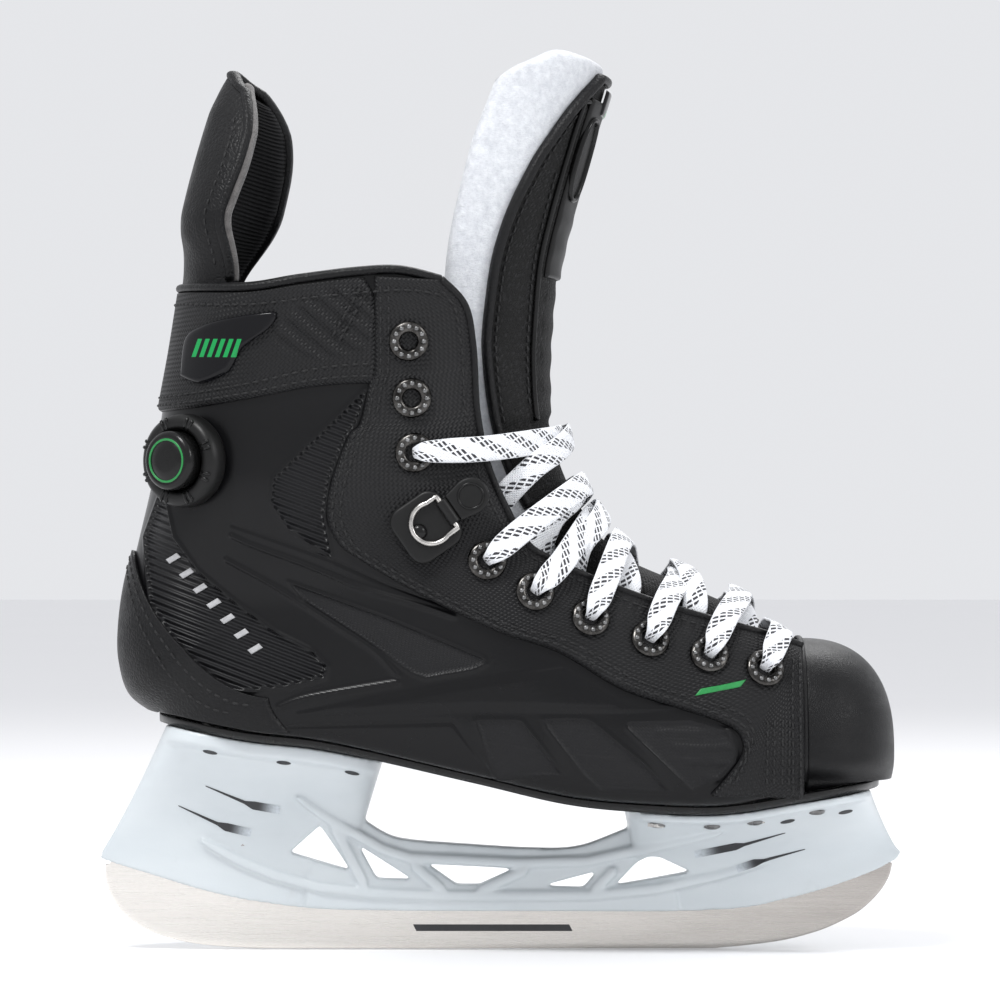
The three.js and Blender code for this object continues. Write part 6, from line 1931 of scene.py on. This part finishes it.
def holder():
    main = tower(TOWERS["rear"])
    recalc(main)
    front = tower(TOWERS["front"])
    recalc(front)
    cut(main, front, "UNION")
    run = [(x, float(edge_z(x))) for x in np.linspace(-70, 64, 60)]
    bridge = side_prism("bridge", [*run, *round_corners(BRIDGE_TOP, 7)], BRIDGE_HALF)
    cut(main, bridge, "UNION")
    for outline in WINDOWS:
        cut(main, side_prism("window", round_corners(outline, 1.3), 45), "DIFFERENCE")
    slot_top = [(x, float(edge_z(np.clip(x, -140, 139.5))) + 3.0) for x in np.linspace(148.5, -149, 40)]
    slot = side_prism("slot", [(-149, -5), (148.5, -5), *slot_top], RUNNER_THICKNESS / 2 + SLOT_ROOM)
    cut(main, slot, "DIFFERENCE")
    add_rails(main)
    remesh = main.modifiers.new("remesh", "REMESH")
    remesh.mode = "VOXEL"
    remesh.voxel_size = 0.00062
    apply_modifiers(main)
    soften = main.modifiers.new("soften", "SMOOTH")
    soften.iterations = 5
    soften.factor = 0.5
    apply_modifiers(main)
    main.name = "blade_holder_moulded"
    main.data.materials.clear()
    main.data.materials.append(M["holder"])
    main.data.polygons.foreach_set("use_smooth", [True] * len(main.data.polygons))
    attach(main, "boot")
    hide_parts("blade_holder")
    return main


RUNNER_SOLE = [
    (-141.3, 30), (-141, 23.5), (-138.5, 17.4), (-134.5, 12.2), (-127.7, 7.4), (-120, 4.2),
    (-108.5, 1.6), (-92, 0.3), (-70, 0), (62, 0), (80, 0.4), (98.3, 2.4), (110, 5), (119, 8.2),
    (128.5, 13.2), (135.5, 19.6), (139.3, 25.5), (140.6, 30.5),
]


def runner():
    """Ground blade: rows from its sole up into the holder, with eased edges and a hollow."""
    line = Line(RUNNER_SOLE, per=10).thinned(260)
    x, z = line[:, 0], np.maximum(line[:, 1], 0)
    t = unit(np.gradient(line, axis=0))
    inward = np.stack([-t[:, 1], t[:, 0]], -1)
    top_z = edge_z(np.clip(x, -136, 135)) + 2.4
    upper = np.stack([np.clip(x, -137, 136.5), np.maximum(top_z, z + 0.5)], -1)
    levels = [0.0, 0.25, 0.6]
    half = RUNNER_THICKNESS / 2
    widths = [half - 0.35, half - 0.08, half]
    rows = []
    for level, w in zip(levels, widths):
        p = line + inward * level
        rows.append((p, w))
    for share in np.linspace(0.1, 1, 12):
        p = mix(line + inward * 0.6, upper, share)
        rows.append((p, half))
    left = [np.stack([p[:, 0], np.full(len(p), -w), np.maximum(p[:, 1], 0)], -1) for p, w in rows]
    right = [np.stack([p[:, 0], np.full(len(p), w), np.maximum(p[:, 1], 0)], -1) for p, w in rows]
    sole = np.stack([x, np.zeros_like(x), z + 0.12], -1)
    strip = np.array([*left[::-1], sole, *right])
    faces = [list(f) for f in grid_faces(*strip.shape[:2], 0, False)]
    mesh = make_mesh("runner_ground", strip.reshape(-1, 3), faces)
    blade = add_object("runner_ground", mesh, M["steel"])
    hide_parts("runner")
    for s_name, s in SIDES:
        stripe_x = np.linspace(-30, 26, 60)
        low = np.stack([stripe_x, np.full(60, s * (half + 0.04)), np.full(60, 6.2)], -1)
        high = np.stack([stripe_x - 1.2, np.full(60, s * (half + 0.04)), np.full(60, 8.6)], -1)
        faces = grid_faces(2, 60, 0, s < 0)
        mesh = make_mesh(f"runner_stripe_{s_name}", np.vstack([low, high]), faces)
        add_object(f"runner_stripe_{s_name}", mesh, M["stripe_and_painted_shade"])


# Side-view points and widths of the printed slashes, each from its thin tip to its faded end.
SLASHES = {
    "rear_upper": [(-104.9, 58.8, 0.3), (-91, 52.8, 1.2), (-88, 51.7, 3.0), (-78.5, 50.0, 3.0)],
    "rear_lower": [(-114.9, 51.5, 0.3), (-101, 45.0, 1.2), (-98, 43.8, 3.0), (-89, 41.6, 3.0)],
    "front_upper": [(101.5, 42.2, 0.3), (87, 37.9, 1.2), (84, 37.2, 2.8), (69.5, 34.2, 2.8)],
    "front_lower": [(109, 35.9, 0.3), (94, 31.8, 1.2), (91, 31.0, 2.8), (84.6, 28.8, 2.8)],
}
# Places of the painted shade discs that stand for the recesses under each tower's flange.
PAINTED_SHADE_X = {"rear": (-102.8, -76.7, -52.5), "front": (102.0, 122.7)}


def holder_marks(main):
    """Plain tapered slashes printed on each tower, and flat dark discs of painted shade for the recesses
    under its flange.
    """
    bpy.context.view_layer.update()
    across = 7
    for name, points in SLASHES.items():
        line = resample(points, 0.8)
        along = unit(np.gradient(line[:, :2], axis=0))
        side = np.stack([-along[:, 1], along[:, 0]], -1)
        rows = [line[:, :2] + side * line[:, 2:] * w for w in np.linspace(-0.5, 0.5, across)]
        flat = np.stack(rows, 1).reshape(-1, 2)
        fade = np.repeat(smooth((np.linspace(0, 1, len(line)) - 0.72) / 0.28), across)
        for s_name, s in SIDES:
            at = projected(main, flat, s, 0.14)
            flip = (s < 0) == name.startswith("rear")
            faces = grid_faces(len(line), across, 0, flip)
            mesh = make_mesh(f"slash_{name}_{s_name}", at, faces, None, {"fade": fade})
            add_object(f"slash_{name}_{s_name}", mesh, M["print"])
    # Painted shade: each recess under the flange is a flat dark disc laid on the holder's side, standing in
    # for the shade inside it.
    turn = np.linspace(0, 2 * math.pi, 28, endpoint=False)
    for tower_name, places in PAINTED_SHADE_X.items():
        for i, x in enumerate(places):
            slope = float(sole_z(x + 1) - sole_z(x - 1)) / 2
            flat_x = np.concatenate([[x], x + 2.6 * np.cos(turn)])
            level = float(flange_z(x)) - 6.2
            flat_z = level + np.concatenate([[0.0], 0.75 * np.sin(turn)]) + slope * (flat_x - x)
            for s_name, s in SIDES:
                at = projected(main, np.stack([flat_x, flat_z], -1), s, 0.15)
                fan = [(0, 1 + k, 1 + (k + 1) % 28)[::1 if s < 0 else -1] for k in range(28)]
                mesh = make_mesh(f"rivet_recess_{tower_name}_{i + 1}_{s_name}", at, fan)
                add_object(mesh.name, mesh, M["stripe_and_painted_shade"])


def fixings():
    """Rivet heads on the flange's underside, and finish for the CAD's own rivets and studs."""
    for name, node in NODES.items():
        if name.startswith(("rivet_", "runner_stud")):
            node.data.materials.clear()
            node.data.materials.append(M["nickel"])
        if name in ("air_bladder", "air_tube"):
            node.data.materials.clear()
            node.data.materials.append(M["bladder"])
    for x in (-104, -80, -56, 56, 75, 90, 112):
        for s_name, s in SIDES:
            spec = TOWERS["rear" if x < 0 else "front"]
            top = spec["top"]
            k = (x - top[0]) / (top[1] - top[0])

            ends = float(dome(k / 0.22, 2.2) * dome((1 - k) / 0.22, 2.2))
            half = spec["width"] / 2 * mix(0.3, 1, ends)
            y = float(centre_y(x)) * 0.5 + s * (half - 7.5)
            place = np.array([x, y, float(flange_z(x)) - 4.2])
            profile = [[0.1, 0.9], [3.1, 0.9], [3.3, 0.4], [2.9, -0.5], [1.6, -1.1], [0.1, -1.2]]
            turned(f"rivet_tail_{'rear' if x < 0 else 'front'}_{abs(x)}_{s_name}", profile[::-1], 28, place,
                   (0, 0, 1.0), M["nickel_dark"])


def main():
    quarter_shell()
    facings()
    collar_band()
    heel_counter()
    edge_bindings()
    overlay_stitches()
    badges_and_marks()
    liner()
    footbed()
    toe_cap()
    outsole()
    tongue_felt()
    tongue_cover()
    tongue_trim()
    tongue_details()
    tendon_guard()
    eyelets()
    lace()
    pump()
    release()
    holder_marks(holder())
    runner()
    fixings()
    for node in NODES.values():
        if not node.hide_render and not node.data.materials:
            node.data.materials.append(M["rubber"])


main()
